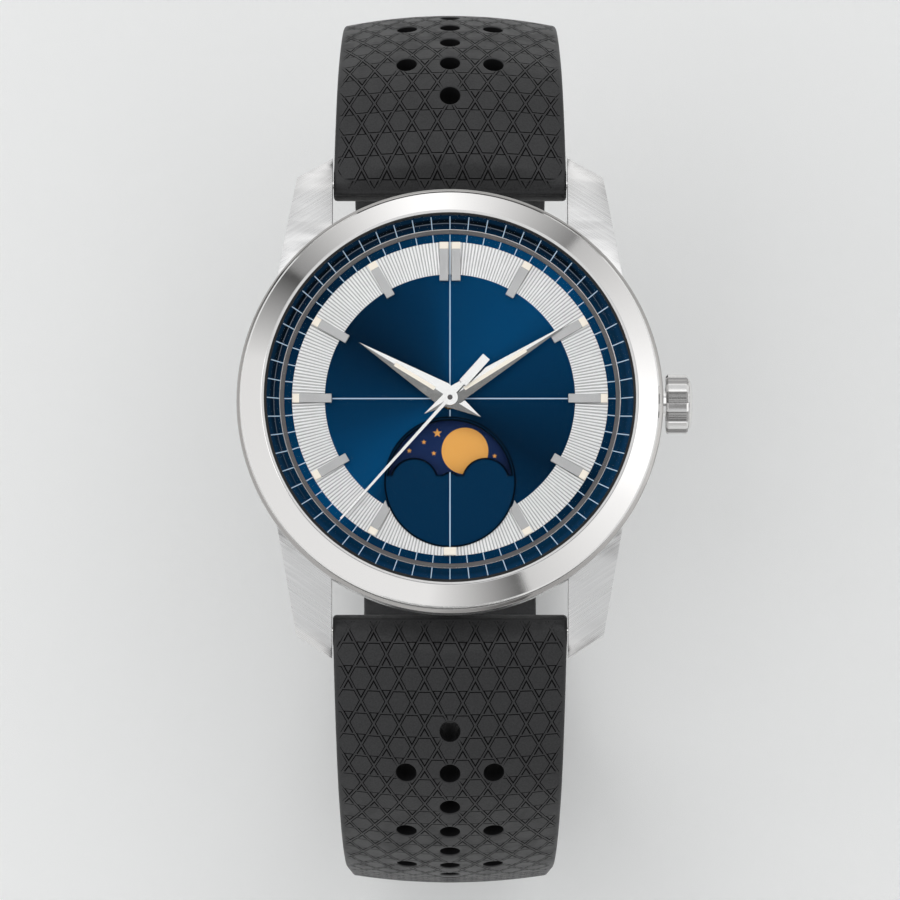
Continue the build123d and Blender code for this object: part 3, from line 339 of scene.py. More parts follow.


# Painted shade: darker along the plate's outer edge and round the rims of its opening and humps
def moonPlateBlue():
    made, tree, shader = material("moonPlateBlue", linear(3, 45, 76), 0.35, specular=0.02)
    radius = useGroup(tree, polar, Centre=(0, moonValues["centre"], 0))["Radius"]
    axes = split(tree, millimetres(tree))
    up = calc(tree, "ADD", axes[1], -moonValues["centre"])
    side = calc(tree, "SUBTRACT", calc(tree, "ABSOLUTE", axes[0]), moonValues["humpSide"])
    squares = calc(tree, "ADD", calc(tree, "POWER", side, 2.0), calc(tree, "POWER", up, 2.0))
    hump = calc(tree, "SQRT", squares)
    edges = [remap(tree, radius, moonValues["plate"] - 0.19, moonValues["plate"] - 0.11)]
    for place, circle in ((radius, "window"), (hump, "hump"), (radius, "middleHump")):
        away = calc(tree, "ABSOLUTE", calc(tree, "SUBTRACT", place, moonValues[circle]))
        edge = remap(tree, away, 0.12, 0.22, 1.0, 0.0)
        edges.append(calc(tree, "MULTIPLY", edge, remap(tree, up, 0.3, 0.6)))
    shade = edges[0]
    for edge in edges[1:]:
        shade = calc(tree, "MAXIMUM", shade, edge)
    # Painted shade mixed in along the edges
    paint(tree, shader, mixColour(tree, shade, linear(3, 46, 77), linear(0, 9, 20)))
    addWear(tree, shader, 0.8, 0.08, 0.3)
    return made


# The sloping ring: blue; across its upper left half, painted shade in a dark band where it turns from the
# light, with a thin painted highlight inside it
def ringBlue():
    made, tree, shader = material("ringBlue", linear(0, 38, 64), 0.3, specular=0.03)
    place = useGroup(tree, polar)
    share = remap(tree, place["Radius"], 14.3, 15.4)
    share.node.interpolation_type = "LINEAR"
    # Across the ring: painted shade in the dark band, and a painted highlight in the thin light line at
    # 0.46
    stops = [
        (0.0, (3, 38, 62)), (0.36, (3, 24, 44)), (0.42, (20, 34, 50)), (0.46, (118, 126, 138)),
        (0.5, (16, 24, 34)), (0.55, (1, 7, 14)), (0.7, (2, 14, 25)), (0.8, (4, 36, 60)), (1.0, (6, 42, 68)),
    ]
    paintedShadeAndHighlight = ramp(tree, share, [(at, linear(*rgb)) for at, rgb in stops])
    stops = [(0.0, (4, 44, 72)), (0.5, (2, 38, 63)), (0.8, (10, 52, 84)), (1.0, (10, 44, 70))]
    plain = ramp(tree, share, [(at, linear(*rgb)) for at, rgb in stops])
    stops = [(0.0, 1), (0.12, 1), (0.19, 0), (0.62, 0), (0.76, 0.8), (0.82, 1)]
    turned = ramp(tree, place["Turn"], [(at, (v, v, v, 1)) for at, v in stops])
    paint(tree, shader, mixColour(tree, turned, plain, paintedShadeAndHighlight))
    addWear(tree, shader, 0.8, 0.08, 0.3)
    return made


def simple(name, colour, roughness, metallic=0.0, grain=0.004, specular=0.5, amount=0.08):
    made, tree, shader = material(name, colour, roughness, metallic, specular)
    bump(tree, shader, addWear(tree, shader, 0.9, amount, roughness), grain)
    return made


# Matt rubber with a fine cast grain
def strapRubber():
    made, tree, shader = material("strapRubber", (0.022, 0.022, 0.023, 1), 0.5, specular=0.35)
    grain = noise(tree, millimetres(tree), 7.0, 2.0)
    share = remap(tree, grain, 0.3, 0.7)
    tone = mixColour(tree, share, (0.019, 0.019, 0.020, 1), (0.028, 0.028, 0.029, 1))
    paint(tree, shader, tone)
    addWear(tree, shader, 0.5, 0.14, 0.44)
    bump(tree, shader, grain, 0.02)
    return made


def moonGold():
    made, tree, shader = material("moonGold", linear(240, 172, 82), 0.35, specular=0.25)
    grain = addWear(tree, shader, 0.5, 0.1, 0.3)
    paint(tree, shader, mixColour(tree, grain, linear(234, 160, 68), linear(252, 188, 96)))
    return made


# Broad slanting stripes across the bridges
def stripedPlate():
    made, tree, shader = material("stripedPlate", (0.72, 0.70, 0.66, 1), 0.26, 1.0)
    axes = split(tree, millimetres(tree))
    across = calc(tree, "MULTIPLY", calc(tree, "ADD", axes[0], calc(tree, "MULTIPLY", axes[1], 0.35)), 0.62)
    wave = calc(tree, "FRACT", across)
    paint(tree, shader, mixColour(tree, wave, (0.56, 0.54, 0.50, 1), (0.82, 0.80, 0.75, 1)))
    lines = useGroup(tree, brush, Vector=combine(tree, axes[1], axes[0], axes[2]))["Lines"]
    polish(tree, shader, remap(tree, lines, 0, 1, 0.2, 0.36))
    bump(tree, shader, calc(tree, "ADD", calc(tree, "MULTIPLY", wave, 0.5), lines), 0.004)
    return made


# Shadow and diffuse rays pass the crystal, so that the dial below it is lit
def sapphire():
    made, tree, shader = material("sapphire", (1, 1, 1, 1), 0.0)
    shader.inputs["Transmission Weight"].default_value = 1.0
    shader.inputs["IOR"].default_value = 1.04
    clear = node(tree, "BsdfTransparent")
    path = node(tree, "LightPath").outputs
    light = calc(tree, "MAXIMUM", path["Is Shadow Ray"], path["Is Diffuse Ray"])
    blend = node(tree, "MixShader", {0: light, 1: shader.outputs[0], 2: clear.outputs[0]})
    tree.links.new(blend.outputs[0], tree.nodes["Material Output"].inputs["Surface"])
    return made


mats = {
    "steel": polishedSteel(),
    "case": brushedCase(),
    "satin": satinSteel(),
    "buckle": buckleSteel(),
    "dial": dialBlue(),
    "moonPlate": moonPlateBlue(),
    "rehaut": ringBlue(),
    "moonSky": plainBlue("moonSkyBlue", (29, 48, 90)),
    "stepGrey": simple("stepGrey", (0.105, 0.10, 0.10, 1), 0.35, 0.6, 0.002),
    "gold": moonGold(),
    "silver": simple("groovedSilver", (0.80, 0.80, 0.80, 1), 0.3, 1.0, 0.001),
    # Darker silver for the hour ring's groove floors: painted shade in the grooves
    "silverGrooveShade": simple("silverGrooveShade", (0.44, 0.44, 0.44, 1), 0.4, 1.0, 0.001),
    "marker": simple("satinMarker", (0.42, 0.42, 0.42, 1), 0.34, 1.0, 0.001),
    "crown": simple("crownSteel", (0.78, 0.77, 0.76, 1), 0.17, 1.0, 0.001),
    # Darker steel for the crown's valleys: painted shade between the ribs
    "crownGrooveShade": simple("crownGrooveShade", (0.34, 0.335, 0.33, 1), 0.22, 1.0, 0.001),
    "hand": simple("handSteel", (0.64, 0.64, 0.63, 1), 0.12, 1.0, 0.0003),
    # Satin steel painted darker than the polished steel: painted shade for a dimmer reflection on the
    # bezel's flat top
    "lip": simple("bezelLipShaded", (0.50, 0.495, 0.49, 1), 0.14, 1.0, 0.0005),
    "lume": simple("creamLume", linear(255, 246, 231), 0.7, 0.0, 0.004, 0.2),
    "print": simple("printedLine", linear(185, 208, 228), 0.5, 0.0, 0.001, 0.2),
    "rubber": strapRubber(),
    # Near-black rubber for the strap's grooves and hole walls: painted shade
    "groove": simple("strapGrooveShade", (0.006, 0.006, 0.0065, 1), 0.7, 0.0, 0.004, 0.1),
    "seal": simple("sealRubber", (0.012, 0.012, 0.012, 1), 0.6, 0.0, 0.01, 0.3),
    "sapphire": sapphire(),
    "bridges": stripedPlate(),
    "gilt": simple("giltBrass", (0.83, 0.60, 0.27, 1), 0.22, 1.0, 0.002),
    "ruby": simple("rubyJewel", (0.35, 0.004, 0.03, 1), 0.08, 0.0, 0.0, 0.8, 0.03),
    "spacer": simple("spacerPlate", (0.30, 0.29, 0.28, 1), 0.42, 0.9, 0.004),
    "spring": simple("springSteel", (0.42, 0.45, 0.52, 1), 0.2, 1.0, 0.0),
}
print("materials ready")


def addMesh(name, verts, faces, finish):
    mesh = bpy.data.meshes.new(name)
    mesh.from_pydata(verts, [], faces)
    mesh.materials.append(finish)
    return addObject(name, mesh), mesh


def piece(
    name, verts, faces, body, finish, slotName, replaced=(), sharp=30, bevel=0.0, segments=2, shaded=None
):
    made, mesh = addMesh(name, [Vector(v) * mm for v in verts], faces, finish)
    if shaded:
        mesh.materials.append(shaded[0])
        for index in shaded[1]:
            mesh.polygons[index].material_index = 1
    mesh.validate()
    bm = bmesh.new()
    bm.from_mesh(mesh)
    bmesh.ops.remove_doubles(bm, verts=bm.verts, dist=1e-8)
    bmesh.ops.recalc_face_normals(bm, faces=bm.faces)
    bm.to_mesh(mesh)
    bm.free()
    mesh.shade_smooth()
    mesh.set_sharp_from_angle(angle=math.radians(sharp))
    if bevel:
        addBevel(made, bevel, segments)
    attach(made, body)
    if replaced:
        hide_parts(*replaced)
    return made


def addBevel(made, width, segments):
    rounding = made.modifiers.new("bevel", "BEVEL")
    rounding.width = width * mm
    rounding.segments = segments
    rounding.limit_method = "ANGLE"
    rounding.angle_limit = math.radians(32)
    rounding.harden_normals = True
    rounding.use_clamp_overlap = True


def join(*parts):
    verts, faces = [], []
    for partVerts, partFaces in parts:
        shift = len(verts)
        verts += partVerts
        faces += [tuple(index + shift for index in face) for face in partFaces]
    return verts, faces


# A profile of (radius, height) turned about Z
def lathe(profile, count, closed=True):
    verts, faces, size = [], [], len(profile)
    for step in range(count):
        turn = 2 * math.pi * step / count
        for radius, z in profile:
            verts.append((radius * math.cos(turn), radius * math.sin(turn), z))
    for step in range(count):
        here, there = step * size, (step + 1) % count * size
        for index in range(size if closed else size - 1):
            after = (index + 1) % size
            faces.append((here + index, there + index, there + after, here + after))
    return verts, faces


def alongX(shape, y, z, x=0):
    verts, faces = shape
    return [(v[2] + x, y + v[0], z + v[1]) for v in verts], faces


# Upright block over the points, each with its own low height
def bar(points, lows, height):
    count = len(points)
    verts = [(*p, z) for p, z in zip(points, lows)] + [(*p, z + height) for p, z in zip(points, lows)]
    faces = [tuple(range(count))[::-1], tuple(range(count, 2 * count))]
    faces += [(i, (i + 1) % count, (i + 1) % count + count, i + count) for i in range(count)]
    return verts, faces


def turned(points, angle):
    angle = -math.radians(angle)
    cos, sin = math.cos(angle), math.sin(angle)
    return [(x * cos - y * sin, x * sin + y * cos) for x, y in points]


# Finish for pieces kept as they are, with small rounded edges where a bevel is given
def dress(finish, *names, bevel=0.0, edgeFinish=None):
    for name in names:
        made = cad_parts[name]
        made.data.materials.clear()
        made.data.materials.append(finish)
        if edgeFinish:
            made.data.materials.append(edgeFinish)
        if bevel:
            weld = made.modifiers.new("weld", "WELD")
            weld.merge_threshold = 1e-6
            addBevel(made, bevel, 2)
            made.modifiers["bevel"].material = 1 if edgeFinish else -1


bezelValues = {"edge": 0.05, "steps": 360}
bezelProfile = [(15.6, 6.4), (15.6, 8.8), (15.85, 8.8), (17.535, 7.275), (17.66, 7.025), (17.66, 6.4)]
# The bezel's flat top takes the darker lip steel: painted shade
piece(
    "bezel_ring", *lathe(bezelProfile, bezelValues["steps"]), "head", mats["steel"], "polished_steel",
    ["bezel"], sharp=12, bevel=bezelValues["edge"],
    shaded=(mats["lip"], range(1, bezelValues["steps"] * len(bezelProfile), len(bezelProfile))),
)


def bowed(radius, low, rise, steps=14):
    places = [radius * step / steps for step in range(steps + 1)]
    return [(place, low + rise * (1 - place**2 / radius**2)) for place in places]


crystalValues = {"radius": 15.4, "low": 8.45, "edge": 9.1, "bow": 0.6, "innerBow": 0.45}
under = bowed(crystalValues["radius"], crystalValues["low"], crystalValues["innerBow"])
over = bowed(crystalValues["radius"] - 0.08, crystalValues["edge"], crystalValues["bow"])
under[0] = (0.0005, under[0][1])
over[0] = (0.0005, over[0][1])
rim = [(crystalValues["radius"], crystalValues["edge"] - 0.1)]
piece(
    "domed_crystal", *lathe(under + rim + over[::-1], 180), "head", mats["sapphire"], "sapphire",
    ["crystal"], sharp=25,
)

dress(mats["case"], "case_middle", bevel=0.09, edgeFinish=mats["steel"])
dress(mats["satin"], "case_back_ring", bevel=0.05)
dress(mats["steel"], "crown_tube", "spring_bar_12", "spring_bar_6")
dress(mats["steel"], *[f"bar_tip_{end}_{hand}" for end in ("12", "6") for hand in ("right", "left")])
dress(mats["seal"], "crystal_gasket", "case_back_gasket", "crown_gasket")
dress(mats["sapphire"], "case_back_crystal")

crownValues = {
    "inner": 18.27, "length": 1.85, "radius": 2.55, "ribs": 9, "ribShare": 0.42, "valley": 0.2, "flutes": 5,
    "fluteHeight": 0.05, "firstRib": 63, "axisHeight": 3.4, "endBevel": 0.16, "neck": 1.85,
    "capRadius": 2.1, "capHeight": 0.38, "recess": 1.4,
}


def crownOutline(values, radius):
    points, perRib = [], 48
    period = 2 * math.pi / values["ribs"]
    for step in range(values["ribs"] * perRib):
        share = step % perRib / perRib
        turn = math.radians(values["firstRib"]) + (step / perRib - values["ribShare"] / 2) * period
        depth = 0
        if share > values["ribShare"]:
            inside = (share - values["ribShare"]) / (1 - values["ribShare"])
            flute = (1 - math.cos(2 * math.pi * values["flutes"] * inside)) / 2
            wall = min(1, min(inside, 1 - inside) / 0.08)
            depth = wall * (values["valley"] - flute * values["fluteHeight"])
        points.append(((radius - depth) * math.cos(turn), (radius - depth) * math.sin(turn)))
    return points


def addCrown(values):
    length, radius, end = values["length"], values["radius"], values["endBevel"]
    rings = [(0.0, values["recess"]), (0.0, radius - end), (end, radius)]
    rings += [(length - end, radius), (length, radius - end), (length, values["neck"])]
    verts, faces = [], []
    outline = crownOutline(values, radius)
    count = len(outline)
    for x, ring in rings:
        for px, py in outline:
            reach = math.hypot(px, py)
            scale = ring / radius if ring >= radius - end - 1e-6 else ring / reach
            verts.append((px * scale, py * scale, x))
    sunk = [math.hypot(*point) < radius - 0.03 for point in outline]
    valleys = []
    for low in range(0, (len(rings) - 1) * count, count):
        high = low + count
        for i in range(count):
            j = (i + 1) % count
            if sunk[i] and sunk[j]:
                valleys.append(len(faces))
            faces.append((low + i, low + j, high + j, high + i))
    cap = [(values["neck"], length), (values["neck"], length + 0.06), (values["capRadius"], length + 0.08)]
    for step in range(1, 7):
        turn = math.pi / 2 * step / 6
        cap.append((
            values["capRadius"] * math.cos(turn * 0.98) ** 0.55 if step < 6 else 0.001,
            length + 0.08 + (values["capHeight"] - 0.08) * math.sin(turn),
        ))
    inner = [(values["recess"], 0.0), (values["recess"], 1.2), (0.001, 1.2)]
    shape = join((verts, faces), lathe(cap, 96, False), lathe(inner, 96, False))
    placed = alongX(shape, 0, values["axisHeight"], values["inner"])
    # Valley faces take the darker steel: painted shade in the grooves between the ribs
    piece(
        "fluted_crown", *placed, "crown", mats["crown"], "polished_steel", ["crown"], sharp=16,
        shaded=(mats["crownGrooveShade"], valleys),
    )


addCrown(crownValues)
dress(mats["satin"], "winding_stem", "winding_pinion", "sliding_pinion")
print("case ready")


ringValues = {"inner": 10.53, "outer": 13.28, "low": 7.4, "height": 0.05, "grooves": 292, "depth": 0.04}


# The ring starts at its inner edge, or further out where the moon plate covers it
def ringStart(turn, values):
    centre, plate = moonValues["centre"], moonValues["plate"]
    across = abs(math.sin(turn) * centre)
    if math.cos(turn) > 0 or across > plate:
        return values["inner"]
    reach = math.cos(turn) * centre + math.sqrt(plate**2 - across**2)
    return max(values["inner"], min(reach, values["outer"]))


def addHourRing(values):
    verts, faces = [], []
    low, outer = values["low"], values["outer"]
    high = low + values["height"]
    shares = ((0.0, 0.0), (0.36, 0.0), (0.52, 1.0), (0.84, 1.0))
    count = values["grooves"] * len(shares)
    for index in range(count):
        share, sunk = shares[index % 4]
        turn = 2 * math.pi * (index // 4 + share) / values["grooves"]
        x, y, z = math.sin(turn), math.cos(turn), high - sunk * values["depth"]
        start = ringStart(turn, values)
        corners = ((start, low), (start, z), (outer, z), (outer, low))
        verts += [(x * reach, y * reach, level) for reach, level in corners]
        here, there = index * 4, (index + 1) % count * 4
        for side in range(4):
            after = (side + 1) % 4
            faces.append((here + side, here + after, there + after, there + side))
    # Groove floors take the darker silver: painted shade in the grooves
    piece(
        "grooved_hour_ring", verts, faces, "head", mats["silver"], "silver_ring", ["hour_ring"], sharp=20,
        shaded=(mats["silverGrooveShade"], range(9, count * 4, 16)),
    )


addHourRing(ringValues)

dress(mats["dial"], "dial_plate")
dress(mats["moonPlate"], "moon_plate", bevel=0.05)
dress(mats["moonSky"], "moon_disc")
dress(mats["gold"], "moon_figures")
dress(mats["marker"], "hour_markers", bevel=0.03)
dress(mats["lume"], "marker_lume", bevel=0.03)
dress(mats["lume"], "hour_hand_lume", "minute_hand_lume")
dress(mats["hand"], "hour_hand", "minute_hand", "seconds_hand", bevel=0.008)

pinProfile = [(0.0005, 8.403), (0.13, 8.403), (0.14, 8.41), (0.2, 8.41), (0.22, 8.4)]
piece("hand_pin", *lathe(pinProfile, 48, False), "seconds", mats["stepGrey"], "polished_steel")

rehautProfile = [
    (14.6, 7.0), (14.6, 7.4), (14.3, 7.4), (14.3, 7.52), (15.4, 8.4), (15.5, 8.4), (15.5, 7.0),
]
piece("sloping_ring", *lathe(rehautProfile, 360), "head", mats["rehaut"], "dark_ring", ["rehaut_ring"])
stepProfile = [(13.95, 7.4), (13.95, 7.50), (13.98, 7.52), (14.3, 7.52), (14.3, 7.4)]
piece("step_ring", *lathe(stepProfile, 360), "head", mats["stepGrey"], "dark_ring")
lipProfile = [(14.28, 7.52), (14.29, 7.54), (14.34, 7.575), (14.36, 7.565)]
piece("step_lip", *lathe(lipProfile, 360), "head", mats["steel"], "dark_ring")

trackValues = {
    "count": 60, "width": 0.08, "height": 0.008, "dial": (13.28, 13.94), "dialHeight": 7.4,
    "slope": (14.37, 15.34),
}


def slopeHeight(radius):
    return 7.52 + (radius - 14.3) * 0.8


def tick(turn, inner, outer, lowInner, lowOuter, values):
    half = values["width"] / 2
    points = turned([(-half, inner), (half, inner), (half, outer), (-half, outer)], turn)
    return bar(points, (lowInner, lowInner, lowOuter, lowOuter), values["height"])


def addTrack(values):
    dialMarks, ringMarks, low = [], [], values["dialHeight"]
    inner, outer = values["slope"]
    for index in range(values["count"]):
        turn = index * 360 / values["count"]
        dialMarks.append(tick(turn, *values["dial"], low, low, values))
        ringMarks.append(tick(turn, inner, outer, slopeHeight(inner), slopeHeight(outer), values))
    piece("minute_marks", *join(*dialMarks), "head", mats["print"], "lume", sharp=20)
    piece("slope_marks", *join(*ringMarks), "head", mats["print"], "lume", sharp=20)


addTrack(trackValues)

# Upright lines as start, end and height: on the dial, over the hour ring, and over the moon plate
crossValues = {
    "width": 0.1, "height": 0.008, "dialHeight": 7.4, "side": (0.95, 9.9),
    "upright": [(0.95, 10.5, 7.4), (10.5, 13.3, 7.45), (-1.5, -0.95, 7.4), (-12.55, -6.25, 7.55)],
}


def addCross(values):
    half, height, low = values["width"] / 2, values["height"], values["dialHeight"]
    parts = []
    for start, end, level in values["upright"]:
        points = [(-half, start), (half, start), (half, end), (-half, end)]
        parts.append(bar(points, [level] * 4, height))
    start, end = values["side"]
    for side in (1, -1):
        points = [(side * start, -half), (side * end, -half), (side * end, half), (side * start, half)]
        parts.append(bar(points, [low] * 4, height))
    piece("cross_lines", *join(*parts), "head", mats["print"], "lume", sharp=20)


addCross(crossValues)
print("dial ready")


dress(mats["bridges"], "barrel_bridge", "train_bridge", "balance_cock", bevel=0.03)
dress(mats["spacer"], "movement_ring", "main_plate")
dress(mats["satin"], "rotor", bevel=0.04)
dress(mats["satin"], "rotor_bearing", "ratchet_wheel", "crown_wheel", "escape_wheel", "pallet_fork")
dress(mats["gilt"], "barrel", "centre_wheel", "third_wheel", "fourth_wheel", "balance_wheel")
dress(mats["gilt"], "cannon_pinion", "minute_wheel", "hour_wheel")
dress(mats["spring"], "balance_spring")
dress(mats["ruby"], "jewels")
print("movement ready")


strapValues = {
    "reach": 19.1, "height": 1.2, "width": 19.8, "endWidth": 16.0, "taper": 72.0, "inner": 1.3,
    "edge": 1.2, "endEdge": 0.9, "dome": 1.2, "endDome": 0.4, "round": 0.3, "footRound": 0.2,
    "nose": 1.4, "boreRoom": 0.84, "holeRadius": 0.875, "holeRound": 0.1, "pitch": 3.72, "sideHole": 3.72,
    "cell": 1.075, "lineHalf": 0.046, "lineDepth": 0.1, "hexInset": 0.11, "triInset": 0.13,
    "sideFade": 0.45, "startFade": -0.7, "noseTop": 1.42, "riseStart": -0.7, "rise": 0.55,
}
shortHalf = {
    "name": "strap_12", "side": 1, "length": 75.0, "end": 74.1, "tip": 0.0, "start": -0.85,
    "runs": (0.0933, 0.0667, 0.0933, 0.1333, 0.3667, 0.2467),
    "slopes": (5, 32, 54, 65, 90, 180, 180), "first": 7.0, "rows": 6, "slot": (1.6, 72.6),
}
longHalf = {
    "name": "strap_6", "side": -1, "length": 115.0, "end": 115.0, "tip": 6.0, "start": -0.85,
    "runs": (0.0696, 0.0609, 0.0696, 0.087, 0.1043, 0.3417, 0.2669),
    "slopes": (5, 29.5, 57, 71.7, 90, 90, 180, 180), "first": 7.8, "rows": 26, "slot": None,
}


# Follows the strap's side curve from the spring bar: reach, height and slope at a distance along it
def walk(half, distance):
    reach, height, slope = strapValues["reach"], strapValues["height"], half["slopes"][0]
    total = sum(half["runs"])
    for index, share in enumerate(half["runs"]):
        run = half["length"] * share / total
        start, end = half["slopes"][index], half["slopes"][index + 1]
        step = min(distance, run)
        slope = start + (end - start) * step / run
        if start == end:
            reach += step * math.cos(math.radians(start))
            height -= step * math.sin(math.radians(start))
        else:
            radius = run / math.radians(end - start)
            reach += radius * (math.sin(math.radians(slope)) - math.sin(math.radians(start)))
            height -= radius * (math.cos(math.radians(start)) - math.cos(math.radians(slope)))
        distance -= step
        if distance <= 0:
            break
    return reach, height, math.radians(slope)


# Point at s along the strap and x across it, some way out from its middle curve
def place(half, s, x, outward):
    reach, height, slope = walk(half, max(s, 0))
    reach += min(s, 0) * math.cos(slope)
    height -= min(s, 0) * math.sin(slope)
    return (x, half["side"] * (reach + outward * math.sin(slope)), height + outward * math.cos(slope))


def blendBy(s, key, endKey):
    share = min(max(s, 0) / strapValues["taper"], 1)
    return strapValues[key] + (strapValues[endKey] - strapValues[key]) * share


def halfWidth(half, s):
    width = blendBy(s, "width", "endWidth") / 2
    if half["tip"]:
        share = max((s - half["length"] + half["tip"]) / half["tip"], 0)
        width *= math.sqrt(max(1 - (0.92 * share) ** 2, 0))
    return width


# Domed top, held down near the case by a line that climbs from the nose
def topHeight(s, x):
    edge, dome = blendBy(s, "edge", "endEdge"), blendBy(s, "dome", "endDome")
    width = blendBy(s, "width", "endWidth") / 2
    radius = (width**2 + dome**2) / (2 * dome)
    full = edge + dome - radius + math.sqrt(max(radius**2 - x**2, 0))
    first, nose = strapValues["riseStart"], strapValues["noseTop"]
    climb = math.sqrt(nose**2 - min(s, first) ** 2) + max(s - first, 0) * strapValues["rise"]
    room = 0.25
    return min(full, climb) - max(room - abs(full - climb), 0) ** 2 / (4 * room)


def holeCentres(half):
    centres = []
    for row in range(half["rows"]):
        s = half["first"] + row * strapValues["pitch"]
        xs = [0.0]
        if row % 2 == 1 and row < 6:
            xs += [strapValues["sideHole"], -strapValues["sideHole"]]
        centres += [(s, x) for x in xs]
    return centres


def offsetLine(points, distance, closed):
    out, count = [], len(points)
    for index, point in enumerate(points):
        before = points[index - 1] if closed or index else None
        after = points[(index + 1) % count] if closed or index < count - 1 else None
        normals = []
        for first, second in ((before, point), (point, after)):
            if first is not None and second is not None:
                way = (Vector(second) - Vector(first)).normalized()
                normals.append(Vector((way.y, -way.x)))
        normal = sum(normals, Vector((0, 0))).normalized()
        normal /= max(normal.dot(normals[0]), 0.3)
        out.append(tuple(Vector(point) + normal * distance))
    return out


# Points are (s, x). Each groove is a line at full depth between two lines at the surface.
def grooves(half):
    cell, apex, halfStrap = strapValues["cell"], 2 * strapValues["triInset"], strapValues["width"] / 2
    row = cell * math.sqrt(3)
    first = (half["first"] - 0.48) % (2 * row)
    slant = math.radians(60)
    lean = math.cos(slant) / math.sin(slant)
    reach = cell - strapValues["hexInset"] / math.sin(slant)
    columns = int(strapValues["width"] / (4 * cell)) + 2
    lines = []
    for r in range(-2, int(half["end"] / row) + 3):
        middle = first + r * row
        shift = cell if r % 2 == 0 else 0.0
        near, far = middle - row / 2 + 0.12, middle + row / 2 + 0.03
        top, low = reach - (middle - near) * lean, reach - (far - middle) * lean
        for c in range(-columns, columns + 1):
            x = shift + c * 2 * cell
            if abs(x) > halfStrap + cell:
                continue
            hexagon = [(middle, x - reach), (near, x - top), (near, x + top)]
            hexagon += [(middle, x + reach), (far, x + low), (far, x - low)]
            lines.append((hexagon, True))
            corner = x + cell
            if abs(corner) < halfStrap:
                for side, short in ((1, 0.06), (-1, 0.02)):
                    foot = row / 2 - short
                    spread, at = (foot - apex) * lean, middle + side * foot
                    bend = [(at, corner - spread), (middle + side * apex, corner), (at, corner + spread)]
                    lines.append((bend, False))
    return lines


def nearestDepth(lines, s, x):
    best = strapValues["lineHalf"]
    for points, closed in lines:
        if abs(points[0][0] - s) > 2.2 or abs(points[0][1] - x) > 3.2:
            continue
        count = len(points)
        for index in range(count if closed else count - 1):
            a, b = Vector(points[index]), Vector(points[(index + 1) % count])
            share = max(0, min(1, (Vector((s, x)) - a).dot(b - a) / (b - a).length_squared))
            best = min(best, (Vector((s, x)) - a - (b - a) * share).length)
    return 1 - best / strapValues["lineHalf"]


# Outline of the top face, with the buckle's slot in the short half
def outerLoop(half, inset):
    start, end = half["start"], half["end"]
    steps = int((end - start) / 0.8)
    places = [start + (end - start) * i / steps for i in range(steps + 1)]
    if half["tip"]:
        places = [s for s in places if s < end - half["tip"]]
        places += [end - half["tip"] + half["tip"] * math.sin(math.pi / 2 * i / 12) for i in range(13)]
        places[-1] = end - inset
    right = [(s, halfWidth(half, s) - inset) for s in places]
    loop = right + [(s, -x) for s, x in right[::-1]]
    if half["slot"]:
        width, depth = half["slot"]
        middle = len(right)
        notch = [(end, width), (depth, width), (depth, -width), (end, -width)]
        loop = loop[:middle] + notch + loop[middle:]
    return loop


# Triangles over the strap alone, the area inside the outline and outside the holes
def triangulate(points, edges, outlineStart):
    flat = [Vector(p) for p in points]
    flat, sides, faces, origins, sources, _ = geometry.delaunay_2d_cdt(flat, edges, [], 0, 1e-5)
    outline = {frozenset(e) for e, own in zip(sides, sources) if any(i >= outlineStart for i in own)}
    around = [[frozenset(side) for side in zip(face, face[1:] + face[:1])] for face in faces]
    beside = {}
    for index, own in enumerate(around):
        for side in own:
            beside.setdefault(side, []).append(index)
    left, best = set(range(len(faces))), []
    while left:
        region = [left.pop()]
        for index in region:
            for side in around[index]:
                for other in beside[side]:
                    if other in left and side not in outline:
                        left.discard(other)
                        region.append(other)
        best = max(best, region, key=len)
    return [tuple(v) for v in flat], [tuple(faces[i]) for i in sorted(best)], origins


def boundaryLoops(faces):
    seen = {}  # a dictionary keeps the order in which the sides were met
    for face in faces:
        for side in zip(face, face[1:] + face[:1]):
            if not seen.pop(side[::-1], False):
                seen[side] = True
    after = dict(seen.keys())
    loops = []
    while after:
        start = next(iter(after))
        loop, at = [], start
        while at in after:
            loop.append(at)
            at = after.pop(at)
        loops.append(loop)
    return loops


def addLoop(points, edges, loop):
    first = len(points)
    points += loop
    edges += [(first + i, first + (i + 1) % len(loop)) for i in range(len(loop))]


def circle(centre, radius, count=28):
    turns = [2 * math.pi * i / count for i in range(count)]
    return [(centre[0] + radius * math.cos(t), centre[1] + radius * math.sin(t)) for t in turns]


def clamped(value):
    return min(1, max(0, value))


# Grooves, outline, holes and a few rows of points near the case, all in (s, x)
def topLines(half, lines, centres, holeTop):
    points, edges, depth = [], [], {}
    for line, closed in lines:
        wide = strapValues["lineHalf"] * (0.85 if closed else 1.2)
        for side, sunk in ((1, 0.0), (0, 1.0), (-1, 0.0)):
            ring = offsetLine(line, side * wide, closed) if side else line
            first, count = len(points), len(ring)
            points += ring
            edges += [(first + i, first + (i + 1) % count) for i in range(count if closed else count - 1)]
            depth.update((index, sunk) for index in range(first, first + count))
        if not closed:
            for at in (0, -1):
                way = (Vector(line[at]) - Vector(line[1])).normalized()
                depth[len(points)] = 0.0
                points.append(tuple(Vector(line[at]) + way * wide))
    outlineStart = len(edges)
    addLoop(points, edges, outerLoop(half, strapValues["round"]))
    for centre in centres:
        addLoop(points, edges, circle(centre, holeTop))
    for step in range(14):
        s = half["start"] + step * 0.22 + 0.1
        points += [(s, x * 0.95) for x in range(-10, 11)]
    return points, edges, outlineStart, depth


# Grooves fade out at the sides, the ends and the holes
def grooveFade(half, s, x, centres, holeTop):
    fade = clamped((halfWidth(half, s) - abs(x) - strapValues["sideFade"]) / 0.15)
    fade *= clamped((s - strapValues["startFade"]) / 0.4)
    fade *= clamped((half["end"] - strapValues["round"] - s) / 0.15)
    for cs, cx in centres:
        if abs(cs - s) < 2:
            fade *= clamped((math.hypot(cs - s, cx - x) - holeTop) / 0.06)
    return fade


